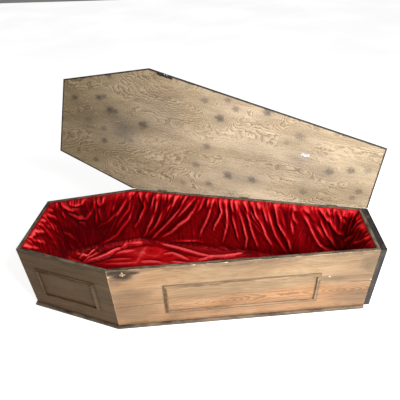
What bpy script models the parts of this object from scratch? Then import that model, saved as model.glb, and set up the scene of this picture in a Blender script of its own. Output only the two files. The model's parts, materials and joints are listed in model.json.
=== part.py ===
"""Six-sided wooden coffin with a hinged lid that stands open.

Metres, +Z up, +X from the head to the foot, the near side at -Y. The origin is the middle of the
base board's underside. Every board is a solid of its own, the panels on the walls are frames of
four mitred strips, and the lid turns on three butt hinges along the far side.
"""
from math import acos, asin, cos, pi, radians, sin

import bmesh
import bpy
from mathutils import Matrix, Vector

# Plan of the box, measured over the outer faces of the boards
LENGTH = 1.900
SHOULDER_FROM_HEAD = 0.516
HEAD_WIDTH = 0.430
SHOULDER_WIDTH = 0.720
FOOT_WIDTH = 0.338

# Boards
WALL_HEIGHT = 0.417
WALL_THICKNESS = 0.018
FOOT_BLOCK_THICKNESS = 0.032
BASE_THICKNESS = 0.022
BASE_LIP = 0.012
BASE_ROUNDING = 0.009
BASE_ROUNDING_SEGMENTS = 4
LID_THICKNESS = 0.018
LID_OVERHANG = 0.010
LID_OPEN_ANGLE = radians(108.0)
ARRIS = 0.0015
ARRIS_SEGMENTS = 2
EASED_ANGLE = radians(20.0)
SHARP_ANGLE = radians(35.0)

# Play between two pieces that touch
FIT_GAP = 0.0003

# Panels of applied strips
STRIP_WIDTH = 0.020
STRIP_HEIGHT = 0.010
STRIP_LIP = 0.003
STRIP_BEAD = 0.006
STRIP_COVE_POINTS = 5
STRIP_BEAD_POINTS = 6

# Margins round the panels, from the bottom, the rim and the corners of the box
SIDE_PANEL_ABOVE_BOTTOM = 0.072
SIDE_PANEL_BELOW_RIM = 0.129
SIDE_PANEL_FROM_SHOULDER = 0.264
SIDE_PANEL_FROM_FOOT = 0.313
END_PANEL_ABOVE_BOTTOM = 0.088
END_PANEL_BELOW_RIM = 0.113
SHOULDER_PANEL_FROM_HEAD = 0.078
SHOULDER_PANEL_FROM_SHOULDER = 0.089
HEAD_PANEL_FROM_CORNER = 0.080

# Soft lining, a tray of cloth and wadding
LINING_WALL = 0.020
LINING_FLOOR = 0.026
LINING_BELOW_RIM = 0.001
LINING_ROUNDING = 0.006

# Butt hinges on the far side
HINGE_COUNT = 3
HINGE_LENGTH = 0.060
HINGE_FIRST_FROM_SHOULDER = 0.180
HINGE_LAST_FROM_FOOT = 0.197
HINGE_LEAF = 0.002
HINGE_LEAF_DROP = 0.030
HINGE_LEAF_TOP_MARGIN = 0.001
HINGE_AXIS_FROM_WALL = 0.002
KNUCKLE_RADIUS = 0.0035
PIN_RADIUS = 0.0013
PIN_PLAY = 0.0004
KNUCKLE_PLAY = 0.0005
ROUND_SIDES = 20

# Catch at the near side: a stud on the box between two prongs on the lid
CATCH_FROM_SHOULDER = 0.078
KEEPER_BELOW_RIM = 0.013
KEEPER_HEIGHT = 0.027
KEEPER_ABOVE_EARS = 0.017
KEEPER_BAR_WIDTH = 0.009
KEEPER_EAR_SPACING = 0.018
KEEPER_EAR_RADIUS = 0.0055
KEEPER_THICKNESS = 0.002
STUD_RADIUS = 0.0028
STUD_HEAD_RADIUS = 0.0045
STUD_HEAD_THICKNESS = 0.0018
STUD_REACH = 0.009
CATCH_PLATE_LENGTH = 0.094
CATCH_PLATE_WIDTH = 0.019
CATCH_PLATE_THICKNESS = 0.002
CATCH_PLATE_HEAD_OF_STUD = 0.022
CATCH_PLATE_FROM_EDGE = 0.001
PRONG_SPACING = 0.020
PRONG_WIDTH = 0.006
PRONG_REACH = 0.024
PRONG_FROM_WALL = 0.0045

# Small plate on the inside of the lid, placed from the foot end and the centreline
LID_PLATE_FROM_FOOT = 0.413
LID_PLATE_OFFSET = -0.056
LID_PLATE_LENGTH = 0.048
LID_PLATE_WIDTH = 0.018
LID_PLATE_THICKNESS = 0.003
LID_PLATE_BEVEL = 0.001

# Heights that follow
WALL_FOOT = BASE_THICKNESS + FIT_GAP
RIM = WALL_FOOT + WALL_HEIGHT
LID_UNDERSIDE = RIM + FIT_GAP

# Corner numbers, counter-clockwise seen from above
HEAD_FAR, HEAD_NEAR, SHOULDER_NEAR, FOOT_NEAR, FOOT_FAR, SHOULDER_FAR = range(6)

# Walls, each named after the corner where it starts
HEAD_WALL = HEAD_FAR
SHOULDER_WALL_NEAR = HEAD_NEAR
SIDE_WALL_NEAR = SHOULDER_NEAR
FOOT_WALL = FOOT_NEAR
SIDE_WALL_FAR = FOOT_FAR
SHOULDER_WALL_FAR = SHOULDER_FAR

# Base colour, roughness and metallic value of each material
MATERIALS = {
    "box_wood": ((0.46, 0.30, 0.18), 0.55, 0.0),
    "strip_wood": ((0.34, 0.26, 0.20), 0.60, 0.0),
    "base_wood": ((0.14, 0.11, 0.09), 0.65, 0.0),
    "lid_wood": ((0.50, 0.40, 0.29), 0.60, 0.0),
    "black_paint": ((0.03, 0.03, 0.035), 0.50, 0.0),
    "red_lining": ((0.40, 0.01, 0.02), 0.35, 0.0),
    "hinge_iron": ((0.08, 0.08, 0.08), 0.50, 0.9),
    "catch_metal": ((0.62, 0.60, 0.56), 0.35, 1.0),
    "catch_plate": ((0.10, 0.10, 0.11), 0.45, 0.8),
}


def clear_scene():
    """Remove every object that the file opened with."""
    for ob in list(bpy.data.objects):
        bpy.data.objects.remove(ob, do_unlink=True)


def material(name):
    """The named Principled material, made at its first use."""
    found = bpy.data.materials.get(name)
    if found:
        return found
    colour, roughness, metallic = MATERIALS[name]
    made = bpy.data.materials.new(name)
    made.use_nodes = True
    shader = made.node_tree.nodes["Principled BSDF"]
    shader.inputs["Base Color"].default_value = (*colour, 1.0)
    shader.inputs["Roughness"].default_value = roughness
    shader.inputs["Metallic"].default_value = metallic
    made.diffuse_color = (*colour, 1.0)
    return made


def add_object(name, mesh, material_name=None):
    """Put a mesh in the scene under a name, with its material."""
    mesh.name = name
    ob = bpy.data.objects.new(name, mesh)
    bpy.context.scene.collection.objects.link(ob)
    if material_name:
        mesh.materials.append(material(material_name))
    return ob


def mesh_from(build):
    """A mesh made by a function that fills a bmesh, with its faces turned outwards."""
    bm = bmesh.new()
    build(bm)
    bmesh.ops.recalc_face_normals(bm, faces=bm.faces)
    mesh = bpy.data.meshes.new("mesh")
    bm.to_mesh(mesh)
    bm.free()
    return mesh


def prism_mesh(outline, low, high):
    """An outline in plan, extruded from one height to another."""
    def build(bm):
        face = bm.faces.new([bm.verts.new((x, y, low)) for x, y in outline])
        raised = bmesh.ops.extrude_face_region(bm, geom=[face])["geom"]
        verts = [item for item in raised if isinstance(item, bmesh.types.BMVert)]
        bmesh.ops.translate(bm, verts=verts, vec=(0.0, 0.0, high - low))
    return mesh_from(build)


def box_mesh(low, high):
    """A block between two opposite corners."""
    outline = [(low[0], low[1]), (high[0], low[1]), (high[0], high[1]), (low[0], high[1])]
    return prism_mesh(outline, low[2], high[2])


def cylinder_mesh(radius, start, end, axis):
    """A round bar along one axis, between two places on it."""
    def build(bm):
        middle = (start + end) / 2.0
        turn = {"x": Matrix.Rotation(pi / 2.0, 4, "Y"), "y": Matrix.Rotation(pi / 2.0, 4, "X")}[axis]
        shift = {"x": Vector((middle, 0.0, 0.0)), "y": Vector((0.0, middle, 0.0))}[axis]
        bmesh.ops.create_cone(bm, cap_ends=True, segments=ROUND_SIDES, radius1=radius, radius2=radius,
                              depth=abs(end - start), matrix=Matrix.Translation(shift) @ turn)
    return mesh_from(build)


def ease_edges(ob, width=ARRIS, segments=ARRIS_SEGMENTS):
    """Round the hard edges of a piece."""
    bevel = ob.modifiers.new("eased edges", "BEVEL")
    bevel.width = width
    bevel.segments = segments
    bevel.limit_method = "ANGLE"
    bevel.angle_limit = EASED_ANGLE
    return bevel


def shade_round(mesh):
    """Smooth shading that keeps the hard edges."""
    mesh.shade_smooth()
    mesh.set_sharp_from_angle(angle=SHARP_ANGLE)


def cutter(name, mesh):
    """A shape that only cuts or joins another."""
    ob = add_object(name, mesh)
    ob.hide_render = True
    ob.display_type = "WIRE"
    return ob


def combine(ob, other, operation):
    """Join another shape to a piece, or cut it away."""
    step = ob.modifiers.new(operation.lower(), "BOOLEAN")
    step.operation = operation
    step.solver = "EXACT"
    step.object = other


def fused_mesh(shapes, holes=()):
    """Several closed meshes joined into one body, with holes cut through it."""
    first = cutter("fused shape", shapes[0])
    helpers = [first]
    for mesh in shapes[1:]:
        helpers.append(cutter("joined shape", mesh))
        combine(first, helpers[-1], "UNION")
    for mesh in holes:
        helpers.append(cutter("hole shape", mesh))
        combine(first, helpers[-1], "DIFFERENCE")
    bpy.context.view_layer.update()
    evaluated = first.evaluated_get(bpy.context.evaluated_depsgraph_get())
    mesh = bpy.data.meshes.new_from_object(evaluated)
    for ob in helpers:
        bpy.data.objects.remove(ob, do_unlink=True)
    return mesh


def plan_corners():
    """The six corners of the box in plan."""
    head = -LENGTH / 2.0
    foot = LENGTH / 2.0
    shoulder = head + SHOULDER_FROM_HEAD
    return [
        Vector((head, HEAD_WIDTH / 2.0)),
        Vector((head, -HEAD_WIDTH / 2.0)),
        Vector((shoulder, -SHOULDER_WIDTH / 2.0)),
        Vector((foot, -FOOT_WIDTH / 2.0)),
        Vector((foot, FOOT_WIDTH / 2.0)),
        Vector((shoulder, SHOULDER_WIDTH / 2.0)),
    ]


def wall_direction(wall):
    """Unit vector along a wall, counter-clockwise round the box."""
    corners = plan_corners()
    return (corners[(wall + 1) % 6] - corners[wall]).normalized()


def wall_length(wall):
    """Length of a wall over its outer face."""
    corners = plan_corners()
    return (corners[(wall + 1) % 6] - corners[wall]).length


def outward(direction):
    """The side of a wall that faces out, in plan."""
    return Vector((direction.y, -direction.x))


def moved_outline(insets):
    """The plan with each wall moved inwards by its own distance."""
    corners = plan_corners()
    lines = []
    for wall in range(6):
        direction = wall_direction(wall)
        lines.append((corners[wall] - outward(direction) * insets[wall], direction))
    points = []
    for wall in range(6):
        start, along = lines[wall - 1]
        other, across = lines[wall]
        reach = (other - start).cross(across) / along.cross(across)
        points.append(start + along * reach)
    return points


def add_base():
    """Base board with a rounded lip on every side but the foot, where it stops under the sides."""
    insets = [-BASE_LIP] * 6
    insets[FOOT_WALL] = FOOT_BLOCK_THICKNESS + FIT_GAP
    ob = add_object("base_board", prism_mesh(moved_outline(insets), 0.0, BASE_THICKNESS), "base_wood")
    rounding = ease_edges(ob, BASE_ROUNDING, BASE_ROUNDING_SEGMENTS)
    rounding.limit_method = "WEIGHT"
    weights = ob.data.attributes.new("bevel_weight_edge", "FLOAT", "EDGE")
    foot_edge = LENGTH / 2.0 - insets[FOOT_WALL]
    for edge in ob.data.edges:
        ends = [ob.data.vertices[number].co for number in edge.vertices]
        level = abs(ends[0].z - ends[1].z) < BASE_THICKNESS / 2.0
        at_foot = min(ends[0].x, ends[1].x) > foot_edge - BASE_LIP
        weights.data[edge.index].value = 1.0 if level and not at_foot else 0.0
    shade_round(ob.data)


def add_wall_boards():
    """Head board, shoulder boards and long sides, mitred where they meet."""
    names = {
        HEAD_WALL: "head_board",
        SHOULDER_WALL_NEAR: "near_shoulder_board",
        SIDE_WALL_NEAR: "near_side_board",
        SIDE_WALL_FAR: "far_side_board",
        SHOULDER_WALL_FAR: "far_shoulder_board",
    }
    insets = [WALL_THICKNESS] * 6
    outer = plan_corners()
    inner = moved_outline(insets)
    side_end = LENGTH / 2.0 - FOOT_BLOCK_THICKNESS - FIT_GAP
    for wall, name in names.items():
        after = (wall + 1) % 6
        along = wall_direction(wall)
        outline = [outer[wall], outer[after], inner[after], inner[wall]]
        for place, corner, sign in ((0, wall, 1), (1, after, -1), (2, after, -1), (3, wall, 1)):
            if corner in (FOOT_NEAR, FOOT_FAR):
                reach = (side_end - outline[place].x) / along.x
                outline[place] = outline[place] + along * reach
            else:
                outline[place] = outline[place] + along * (sign * FIT_GAP)
        ob = add_object(name, prism_mesh(outline, WALL_FOOT, RIM), "box_wood")
        ease_edges(ob)


def between_sides(start, end, inset):
    """Outline of a piece that fills the width between two places, at a distance inside the sides."""
    insets = [0.0] * 6
    insets[SIDE_WALL_NEAR] = inset
    insets[SIDE_WALL_FAR] = inset
    insets[FOOT_WALL] = LENGTH / 2.0 - end
    foot = moved_outline(insets)
    insets[FOOT_WALL] = LENGTH / 2.0 - start
    back = moved_outline(insets)
    return [back[FOOT_NEAR], foot[FOOT_NEAR], foot[FOOT_FAR], back[FOOT_FAR]]


def add_foot_pieces():
    """Foot board between the sides, and the black block over the ends of the sides."""
    side_end = LENGTH / 2.0 - FOOT_BLOCK_THICKNESS - FIT_GAP
    inset = WALL_THICKNESS + FIT_GAP
    board = between_sides(side_end - WALL_THICKNESS, side_end, inset)
    ease_edges(add_object("foot_board", prism_mesh(board, WALL_FOOT, RIM), "box_wood"))
    block = between_sides(LENGTH / 2.0 - FOOT_BLOCK_THICKNESS, LENGTH / 2.0, 0.0)
    ease_edges(add_object("foot_block", prism_mesh(block, WALL_FOOT, RIM), "black_paint"))


def strip_profile():
    """Cross-section of a strip: distance from its outer edge, and height off the board."""
    cove_start = STRIP_LIP / 2.0
    cove_end = STRIP_WIDTH - STRIP_BEAD - STRIP_LIP / 2.0
    cove_top = STRIP_HEIGHT - STRIP_LIP / 2.0
    points = [(0.0, 0.0), (0.0, STRIP_LIP)]
    for number in range(STRIP_COVE_POINTS):
        turn = (pi / 2.0) * number / (STRIP_COVE_POINTS - 1)
        across = cove_start + (cove_end - cove_start) * sin(turn)
        points.append((across, STRIP_LIP + (cove_top - STRIP_LIP) * (1.0 - cos(turn))))
    radius = STRIP_BEAD / 2.0
    bead_middle = STRIP_WIDTH - radius
    bead_base = STRIP_HEIGHT - radius
    first_turn = pi - asin((cove_top - bead_base) / radius)
    for number in range(STRIP_BEAD_POINTS):
        turn = first_turn * (1.0 - number / (STRIP_BEAD_POINTS - 1))
        points.append((bead_middle + radius * cos(turn), bead_base + radius * sin(turn)))
    points.append((STRIP_WIDTH, 0.0))
    return points


def strip_mesh(length):
    """A strip of the given outer length, with both ends mitred."""
    profile = strip_profile()

    def build(bm):
        first = [bm.verts.new((across + FIT_GAP / 2.0, across, height)) for across, height in profile]
        last = [bm.verts.new((length - across - FIT_GAP / 2.0, across, height)) for across, height in profile]
        bm.faces.new(first)
        bm.faces.new(last)
        for number in range(len(profile)):
            after = (number + 1) % len(profile)
            bm.faces.new([first[number], first[after], last[after], last[number]])
    mesh = mesh_from(build)
    shade_round(mesh)
    return mesh


def add_panel(name, wall, margins, heights):
    """Frame of four strips on a wall, between margins from its corners and its lower and upper edges."""
    along = wall_direction(wall).to_3d()
    up = Vector((0.0, 0.0, 1.0))
    normal = along.cross(up)
    length = wall_length(wall) - sum(margins)
    height = WALL_HEIGHT - sum(heights)
    low = WALL_FOOT + heights[0]
    corner = plan_corners()[wall].to_3d() + normal * FIT_GAP + up * low + along * margins[0]
    sides = (
        ("bottom", corner, along, up, length),
        ("end", corner + along * length, up, -along, height),
        ("top", corner + along * length + up * height, -along, -up, length),
        ("start", corner + up * height, -up, along, height),
    )
    for side, place, direction, inward, reach in sides:
        ob = add_object(f"{name}_strip_{side}", strip_mesh(reach), "strip_wood")
        turn = Matrix((direction, inward, normal)).transposed()
        ob.matrix_world = Matrix.Translation(place) @ turn.to_4x4()


def add_panels():
    """The panels of both long sides, both shoulders and the head end."""
    side = (SIDE_PANEL_FROM_SHOULDER, SIDE_PANEL_FROM_FOOT)
    side_heights = (SIDE_PANEL_ABOVE_BOTTOM, SIDE_PANEL_BELOW_RIM)
    shoulder = (SHOULDER_PANEL_FROM_HEAD, SHOULDER_PANEL_FROM_SHOULDER)
    head = (HEAD_PANEL_FROM_CORNER, HEAD_PANEL_FROM_CORNER)
    end_heights = (END_PANEL_ABOVE_BOTTOM, END_PANEL_BELOW_RIM)
    add_panel("near_side", SIDE_WALL_NEAR, side, side_heights)
    add_panel("far_side", SIDE_WALL_FAR, side[::-1], side_heights)
    add_panel("near_shoulder", SHOULDER_WALL_NEAR, shoulder, end_heights)
    add_panel("far_shoulder", SHOULDER_WALL_FAR, shoulder[::-1], end_heights)
    add_panel("head", HEAD_WALL, head, end_heights)


def add_lining():
    """Soft tray inside the walls, open at the top."""
    outer = [WALL_THICKNESS + FIT_GAP] * 6
    outer[FOOT_WALL] = FOOT_BLOCK_THICKNESS + FIT_GAP + WALL_THICKNESS + FIT_GAP
    inner = [inset + LINING_WALL for inset in outer]
    top = RIM - LINING_BELOW_RIM
    floor = WALL_FOOT + LINING_FLOOR
    ob = add_object("lining", prism_mesh(moved_outline(outer), WALL_FOOT, top), "red_lining")
    hollow = cutter("lining_hollow", prism_mesh(moved_outline(inner), floor, RIM + LINING_WALL))
    combine(ob, hollow, "DIFFERENCE")
    ease_edges(ob, LINING_ROUNDING, ARRIS_SEGMENTS)


def hinge_span():
    """Distances of the first and the last hinge from the shoulder."""
    return HINGE_FIRST_FROM_SHOULDER, wall_length(SIDE_WALL_FAR) - HINGE_LAST_FROM_FOOT


def hinge_axis_place():
    """Middle of the lid's axis, along the far side and outside it."""
    toward_foot = -wall_direction(SIDE_WALL_FAR).to_3d()
    corner = plan_corners()[SHOULDER_FAR].to_3d()
    middle = sum(hinge_span()) / 2.0
    out = outward(wall_direction(SIDE_WALL_FAR)).to_3d()
    height = Vector((0.0, 0.0, RIM + FIT_GAP / 2.0))
    return corner + toward_foot * middle + out * HINGE_AXIS_FROM_WALL + height, toward_foot


def add_lid_axis():
    """Empty on the hinge axis, turned as far as the lid stands open."""
    place, toward_foot = hinge_axis_place()
    axis = bpy.data.objects.new("lid_axis", None)
    bpy.context.scene.collection.objects.link(axis)
    axis.location = place
    axis.rotation_mode = "QUATERNION"
    axis.rotation_quaternion = Matrix.Rotation(-LID_OPEN_ANGLE, 3, toward_foot).to_quaternion()
    return axis


def hang_on(axis, ob, closed_place=None):
    """Parent a piece to the lid's axis, at its place on the closed lid."""
    ob.parent = axis
    ob.matrix_parent_inverse = Matrix.Translation(-axis.location)
    if closed_place:
        ob.matrix_basis = closed_place


def catch_frame():
    """Place at the stud on the outer face of the near side at the rim, with its three directions."""
    along = wall_direction(SIDE_WALL_NEAR).to_3d()
    up = Vector((0.0, 0.0, 1.0))
    place = plan_corners()[SHOULDER_NEAR].to_3d() + along * CATCH_FROM_SHOULDER + up * RIM
    turn = Matrix((along, -along.cross(up), up)).transposed()
    return Matrix.Translation(place) @ turn.to_4x4()


def catch_plate_block(play, cuts):
    """The catch plate's block in the catch's frame, or the longer block that cuts its recess."""
    low = LID_UNDERSIDE - RIM
    outer = LID_OVERHANG - CATCH_PLATE_FROM_EDGE
    start = -CATCH_PLATE_HEAD_OF_STUD
    floor = -LID_THICKNESS / 2.0 if cuts else low
    return box_mesh((start - play, -outer - play, floor),
                    (start + CATCH_PLATE_LENGTH + play, CATCH_PLATE_WIDTH - outer + play,
                     low + CATCH_PLATE_THICKNESS + play))


def add_lid(axis):
    """The lid's board, level with the hinge axis and the foot, over the edge elsewhere.

    Grooves about the hinge axis let the knuckles into the lid's edge and the wall's.
    """
    insets = [-LID_OVERHANG] * 6
    insets[FOOT_WALL] = 0.0
    insets[SIDE_WALL_FAR] = -HINGE_AXIS_FROM_WALL
    outline = moved_outline(insets)
    ob = add_object("lid", prism_mesh(outline, LID_UNDERSIDE, LID_UNDERSIDE + LID_THICKNESS), "lid_wood")
    ease_edges(ob)
    recess = cutter("catch_recess", catch_plate_block(FIT_GAP, True))
    combine(ob, recess, "DIFFERENCE")
    hang_on(axis, recess, catch_frame())
    hang_on(axis, ob)
    groove_mesh = hinge_groove_mesh()
    wall = bpy.data.objects["far_side_board"]
    for number, place in enumerate(hinge_places(), 1):
        wall_groove = cutter(f"wall_groove_{number}", groove_mesh)
        wall_groove.matrix_world = place
        combine(wall, wall_groove, "DIFFERENCE")
        lid_groove = cutter(f"lid_groove_{number}", groove_mesh)
        combine(ob, lid_groove, "DIFFERENCE")
        hang_on(axis, lid_groove, place)


def hinge_places():
    """Place of each hinge on the axis: X toward the foot, Y out of the box, Z up."""
    middle, toward_foot = hinge_axis_place()
    out = outward(wall_direction(SIDE_WALL_FAR)).to_3d()
    turn = Matrix((toward_foot, out, Vector((0.0, 0.0, 1.0)))).transposed().to_4x4()
    first, last = hinge_span()
    places = []
    for number in range(HINGE_COUNT):
        along = (last - first) * (number / (HINGE_COUNT - 1) - 0.5)
        places.append(Matrix.Translation(middle + toward_foot * along) @ turn)
    return places


def hinge_groove_mesh():
    """Round groove about the hinge axis, a little wider than the knuckles."""
    half = HINGE_LENGTH / 2.0 + KNUCKLE_PLAY
    return cylinder_mesh(KNUCKLE_RADIUS + KNUCKLE_PLAY, -half, half, "x")


def box_leaf_mesh():
    """Leaf on the wall with two knuckles and the pin, about the hinge axis along X."""
    half = HINGE_LENGTH / 2.0
    third = HINGE_LENGTH / 6.0
    back = -HINGE_AXIS_FROM_WALL + FIT_GAP
    front = back + HINGE_LEAF
    top = -KNUCKLE_RADIUS - KNUCKLE_PLAY
    shapes = [box_mesh((-half, back, -HINGE_LEAF_DROP), (half, front, top))]
    for start, end in ((-half, -third), (third, half)):
        shapes.append(box_mesh((start, back, top - HINGE_LEAF), (end, front, 0.0)))
        shapes.append(cylinder_mesh(KNUCKLE_RADIUS, start, end, "x"))
    shapes.append(cylinder_mesh(PIN_RADIUS, -half + HINGE_LEAF, half - HINGE_LEAF, "x"))
    return fused_mesh(shapes)


def lid_leaf_mesh():
    """Leaf on the lid's edge with the middle knuckle, about the hinge axis along X."""
    half = HINGE_LENGTH / 2.0
    reach = HINGE_LENGTH / 6.0 - KNUCKLE_PLAY
    back = FIT_GAP
    front = back + HINGE_LEAF
    bottom = KNUCKLE_RADIUS + KNUCKLE_PLAY
    top = LID_THICKNESS + FIT_GAP / 2.0 - HINGE_LEAF_TOP_MARGIN
    shapes = [
        box_mesh((-half, back, bottom), (half, front, top)),
        box_mesh((-reach, back, 0.0), (reach, front, bottom + HINGE_LEAF)),
        cylinder_mesh(KNUCKLE_RADIUS, -reach, reach, "x"),
    ]
    hole = cylinder_mesh(PIN_RADIUS + PIN_PLAY, -HINGE_LENGTH, HINGE_LENGTH, "x")
    return fused_mesh(shapes, [hole])


def add_hinges(axis):
    """The hinges, each a leaf on the wall and a leaf on the lid's edge."""
    leaves = {"box": box_leaf_mesh(), "lid": lid_leaf_mesh()}
    for mesh in leaves.values():
        mesh.materials.clear()
        mesh.materials.append(material("hinge_iron"))
        shade_round(mesh)
    for number, place in enumerate(hinge_places(), 1):
        add_object(f"hinge_{number}_box_leaf", leaves["box"]).matrix_world = place
        hang_on(axis, add_object(f"hinge_{number}_lid_leaf", leaves["lid"]), place)


def keeper_outline():
    """Plate outline, a bar with a round ear on each side, across and up from the ears' middle."""
    half_bar = KEEPER_BAR_WIDTH / 2.0
    half_spacing = KEEPER_EAR_SPACING / 2.0
    meeting = acos((half_spacing - half_bar) / KEEPER_EAR_RADIUS)
    steps = ROUND_SIDES // 2
    right = [(half_bar, KEEPER_ABOVE_EARS - KEEPER_HEIGHT)]
    for number in range(steps + 1):
        turn = (pi - meeting) * (2.0 * number / steps - 1.0)
        right.append((half_spacing + KEEPER_EAR_RADIUS * cos(turn), KEEPER_EAR_RADIUS * sin(turn)))
    right.append((half_bar, KEEPER_ABOVE_EARS))
    return right + [(-across, up) for across, up in reversed(right)]


def add_keeper():
    """Plate and headed stud on the outer face of the near side, under the rim."""
    plate = prism_mesh(keeper_outline(), FIT_GAP, FIT_GAP + KEEPER_THICKNESS)
    plate.transform(Matrix.Rotation(pi / 2.0, 4, "X"))
    neck = cylinder_mesh(STUD_RADIUS, -FIT_GAP - KEEPER_THICKNESS / 2.0, -STUD_REACH, "y")
    head = cylinder_mesh(STUD_HEAD_RADIUS, -STUD_REACH + STUD_HEAD_THICKNESS, -STUD_REACH, "y")
    for mesh in (plate, neck, head):
        mesh.transform(Matrix.Translation((0.0, 0.0, -KEEPER_BELOW_RIM - KEEPER_ABOVE_EARS)))
    ob = add_object("catch_keeper", fused_mesh([plate, neck, head]), "catch_metal")
    shade_round(ob.data)
    ob.matrix_world = catch_frame()


def add_lid_catch(axis):
    """Plate let into the lid's underside, with two prongs bent down past the stud."""
    plate = catch_plate_block(0.0, False)
    low = LID_UNDERSIDE - RIM
    shapes = [plate]
    for side in (-0.5, 0.5):
        middle = side * PRONG_SPACING
        shapes.append(box_mesh(
            (middle - PRONG_WIDTH / 2.0, -PRONG_FROM_WALL - CATCH_PLATE_THICKNESS, low - PRONG_REACH),
            (middle + PRONG_WIDTH / 2.0, -PRONG_FROM_WALL, low + CATCH_PLATE_THICKNESS / 2.0)))
    ob = add_object("lid_catch", fused_mesh(shapes), "catch_plate")
    hang_on(axis, ob, catch_frame())


def add_lid_plate(axis):
    """Small plate on the inside of the lid near the foot."""
    middle = Vector((LENGTH / 2.0 - LID_PLATE_FROM_FOOT, LID_PLATE_OFFSET, LID_UNDERSIDE - FIT_GAP))
    half = Vector((LID_PLATE_LENGTH / 2.0, LID_PLATE_WIDTH / 2.0, 0.0))
    low = middle - half - Vector((0.0, 0.0, LID_PLATE_THICKNESS))
    ob = add_object("lid_plate", box_mesh(low, middle + half), "catch_metal")
    ease_edges(ob, LID_PLATE_BEVEL, 1)
    hang_on(axis, ob)


def main():
    """Build the coffin."""
    clear_scene()
    add_base()
    add_wall_boards()
    add_foot_pieces()
    add_panels()
    add_lining()
    axis = add_lid_axis()
    add_lid(axis)
    add_hinges(axis)
    add_keeper()
    add_lid_catch(axis)
    add_lid_plate(axis)


main()
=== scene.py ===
"""Wooden coffin: gathered red lining, worn timber, ironwork, small fasteners and the stage."""

import json
import math

import bpy
import numpy as np
from bpy.props import FloatProperty, FloatVectorProperty, IntProperty, PointerProperty
from mathutils import Euler, Matrix, Vector, noise


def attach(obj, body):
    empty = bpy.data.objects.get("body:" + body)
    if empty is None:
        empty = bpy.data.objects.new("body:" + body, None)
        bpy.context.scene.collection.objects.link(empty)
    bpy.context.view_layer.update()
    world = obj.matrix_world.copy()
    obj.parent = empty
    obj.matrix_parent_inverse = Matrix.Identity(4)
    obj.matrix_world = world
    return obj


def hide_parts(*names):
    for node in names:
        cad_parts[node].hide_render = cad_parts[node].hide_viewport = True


bl_info = {
    "name": "Wooden coffin finishes",
    "version": (1, 0, 0),
    "blender": (4, 5, 0),
    "location": "View3D > Sidebar > Coffin",
    "description": "Lines the coffin with gathered cloth and finishes its timber and metal",
    "category": "Add Mesh",
}

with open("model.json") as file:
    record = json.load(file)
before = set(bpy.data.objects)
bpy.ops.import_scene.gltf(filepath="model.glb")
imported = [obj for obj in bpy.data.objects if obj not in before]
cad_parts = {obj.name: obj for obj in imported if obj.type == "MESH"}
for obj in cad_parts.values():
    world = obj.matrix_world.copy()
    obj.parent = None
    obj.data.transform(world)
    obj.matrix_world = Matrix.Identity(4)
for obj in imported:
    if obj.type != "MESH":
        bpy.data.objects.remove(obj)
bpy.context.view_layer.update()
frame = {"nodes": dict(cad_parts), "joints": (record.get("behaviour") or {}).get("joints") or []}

LENGTH = 1.900
SHOULDER_FROM_HEAD = 0.516
HEAD_WIDTH = 0.430
SHOULDER_WIDTH = 0.720
FOOT_WIDTH = 0.338
WALL_FOOT = 0.0223
RIM = 0.4393
WALL_THICKNESS = 0.018
FOOT_INSIDE = 0.0506
LID_OPEN_ANGLE = math.radians(108.0)
LID_HINGE = frame["joints"][0]
HEAD_FAR, HEAD_NEAR, SHOULDER_NEAR, FOOT_NEAR, FOOT_FAR, SHOULDER_FAR = range(6)


# Plan of the box


def plan_corners():
    """The six outer corners of the box in plan, counter-clockwise from the head's far corner."""
    head = -LENGTH / 2.0
    foot = LENGTH / 2.0
    shoulder = head + SHOULDER_FROM_HEAD
    return [
        Vector((head, HEAD_WIDTH / 2.0)),
        Vector((head, -HEAD_WIDTH / 2.0)),
        Vector((shoulder, -SHOULDER_WIDTH / 2.0)),
        Vector((foot, -FOOT_WIDTH / 2.0)),
        Vector((foot, FOOT_WIDTH / 2.0)),
        Vector((shoulder, SHOULDER_WIDTH / 2.0)),
    ]


def wall_direction(wall):
    """Unit vector along a wall, counter-clockwise round the box."""
    corners = plan_corners()
    return (corners[(wall + 1) % 6] - corners[wall]).normalized()


def inner_outline(extra):
    """Inner faces of the boards in plan, moved inwards by a further distance."""
    insets = [WALL_THICKNESS + extra] * 6
    insets[FOOT_NEAR] = FOOT_INSIDE + extra
    corners = plan_corners()
    lines = []
    for wall in range(6):
        along = wall_direction(wall)
        inward = Vector((-along.y, along.x))
        lines.append((corners[wall] + inward * insets[wall], along))
    points = []
    for wall in range(6):
        start, along = lines[wall - 1]
        other, across = lines[wall]
        reach = (other - start).cross(across) / along.cross(across)
        points.append(start + along * reach)
    return points


# Wiring of node trees


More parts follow.
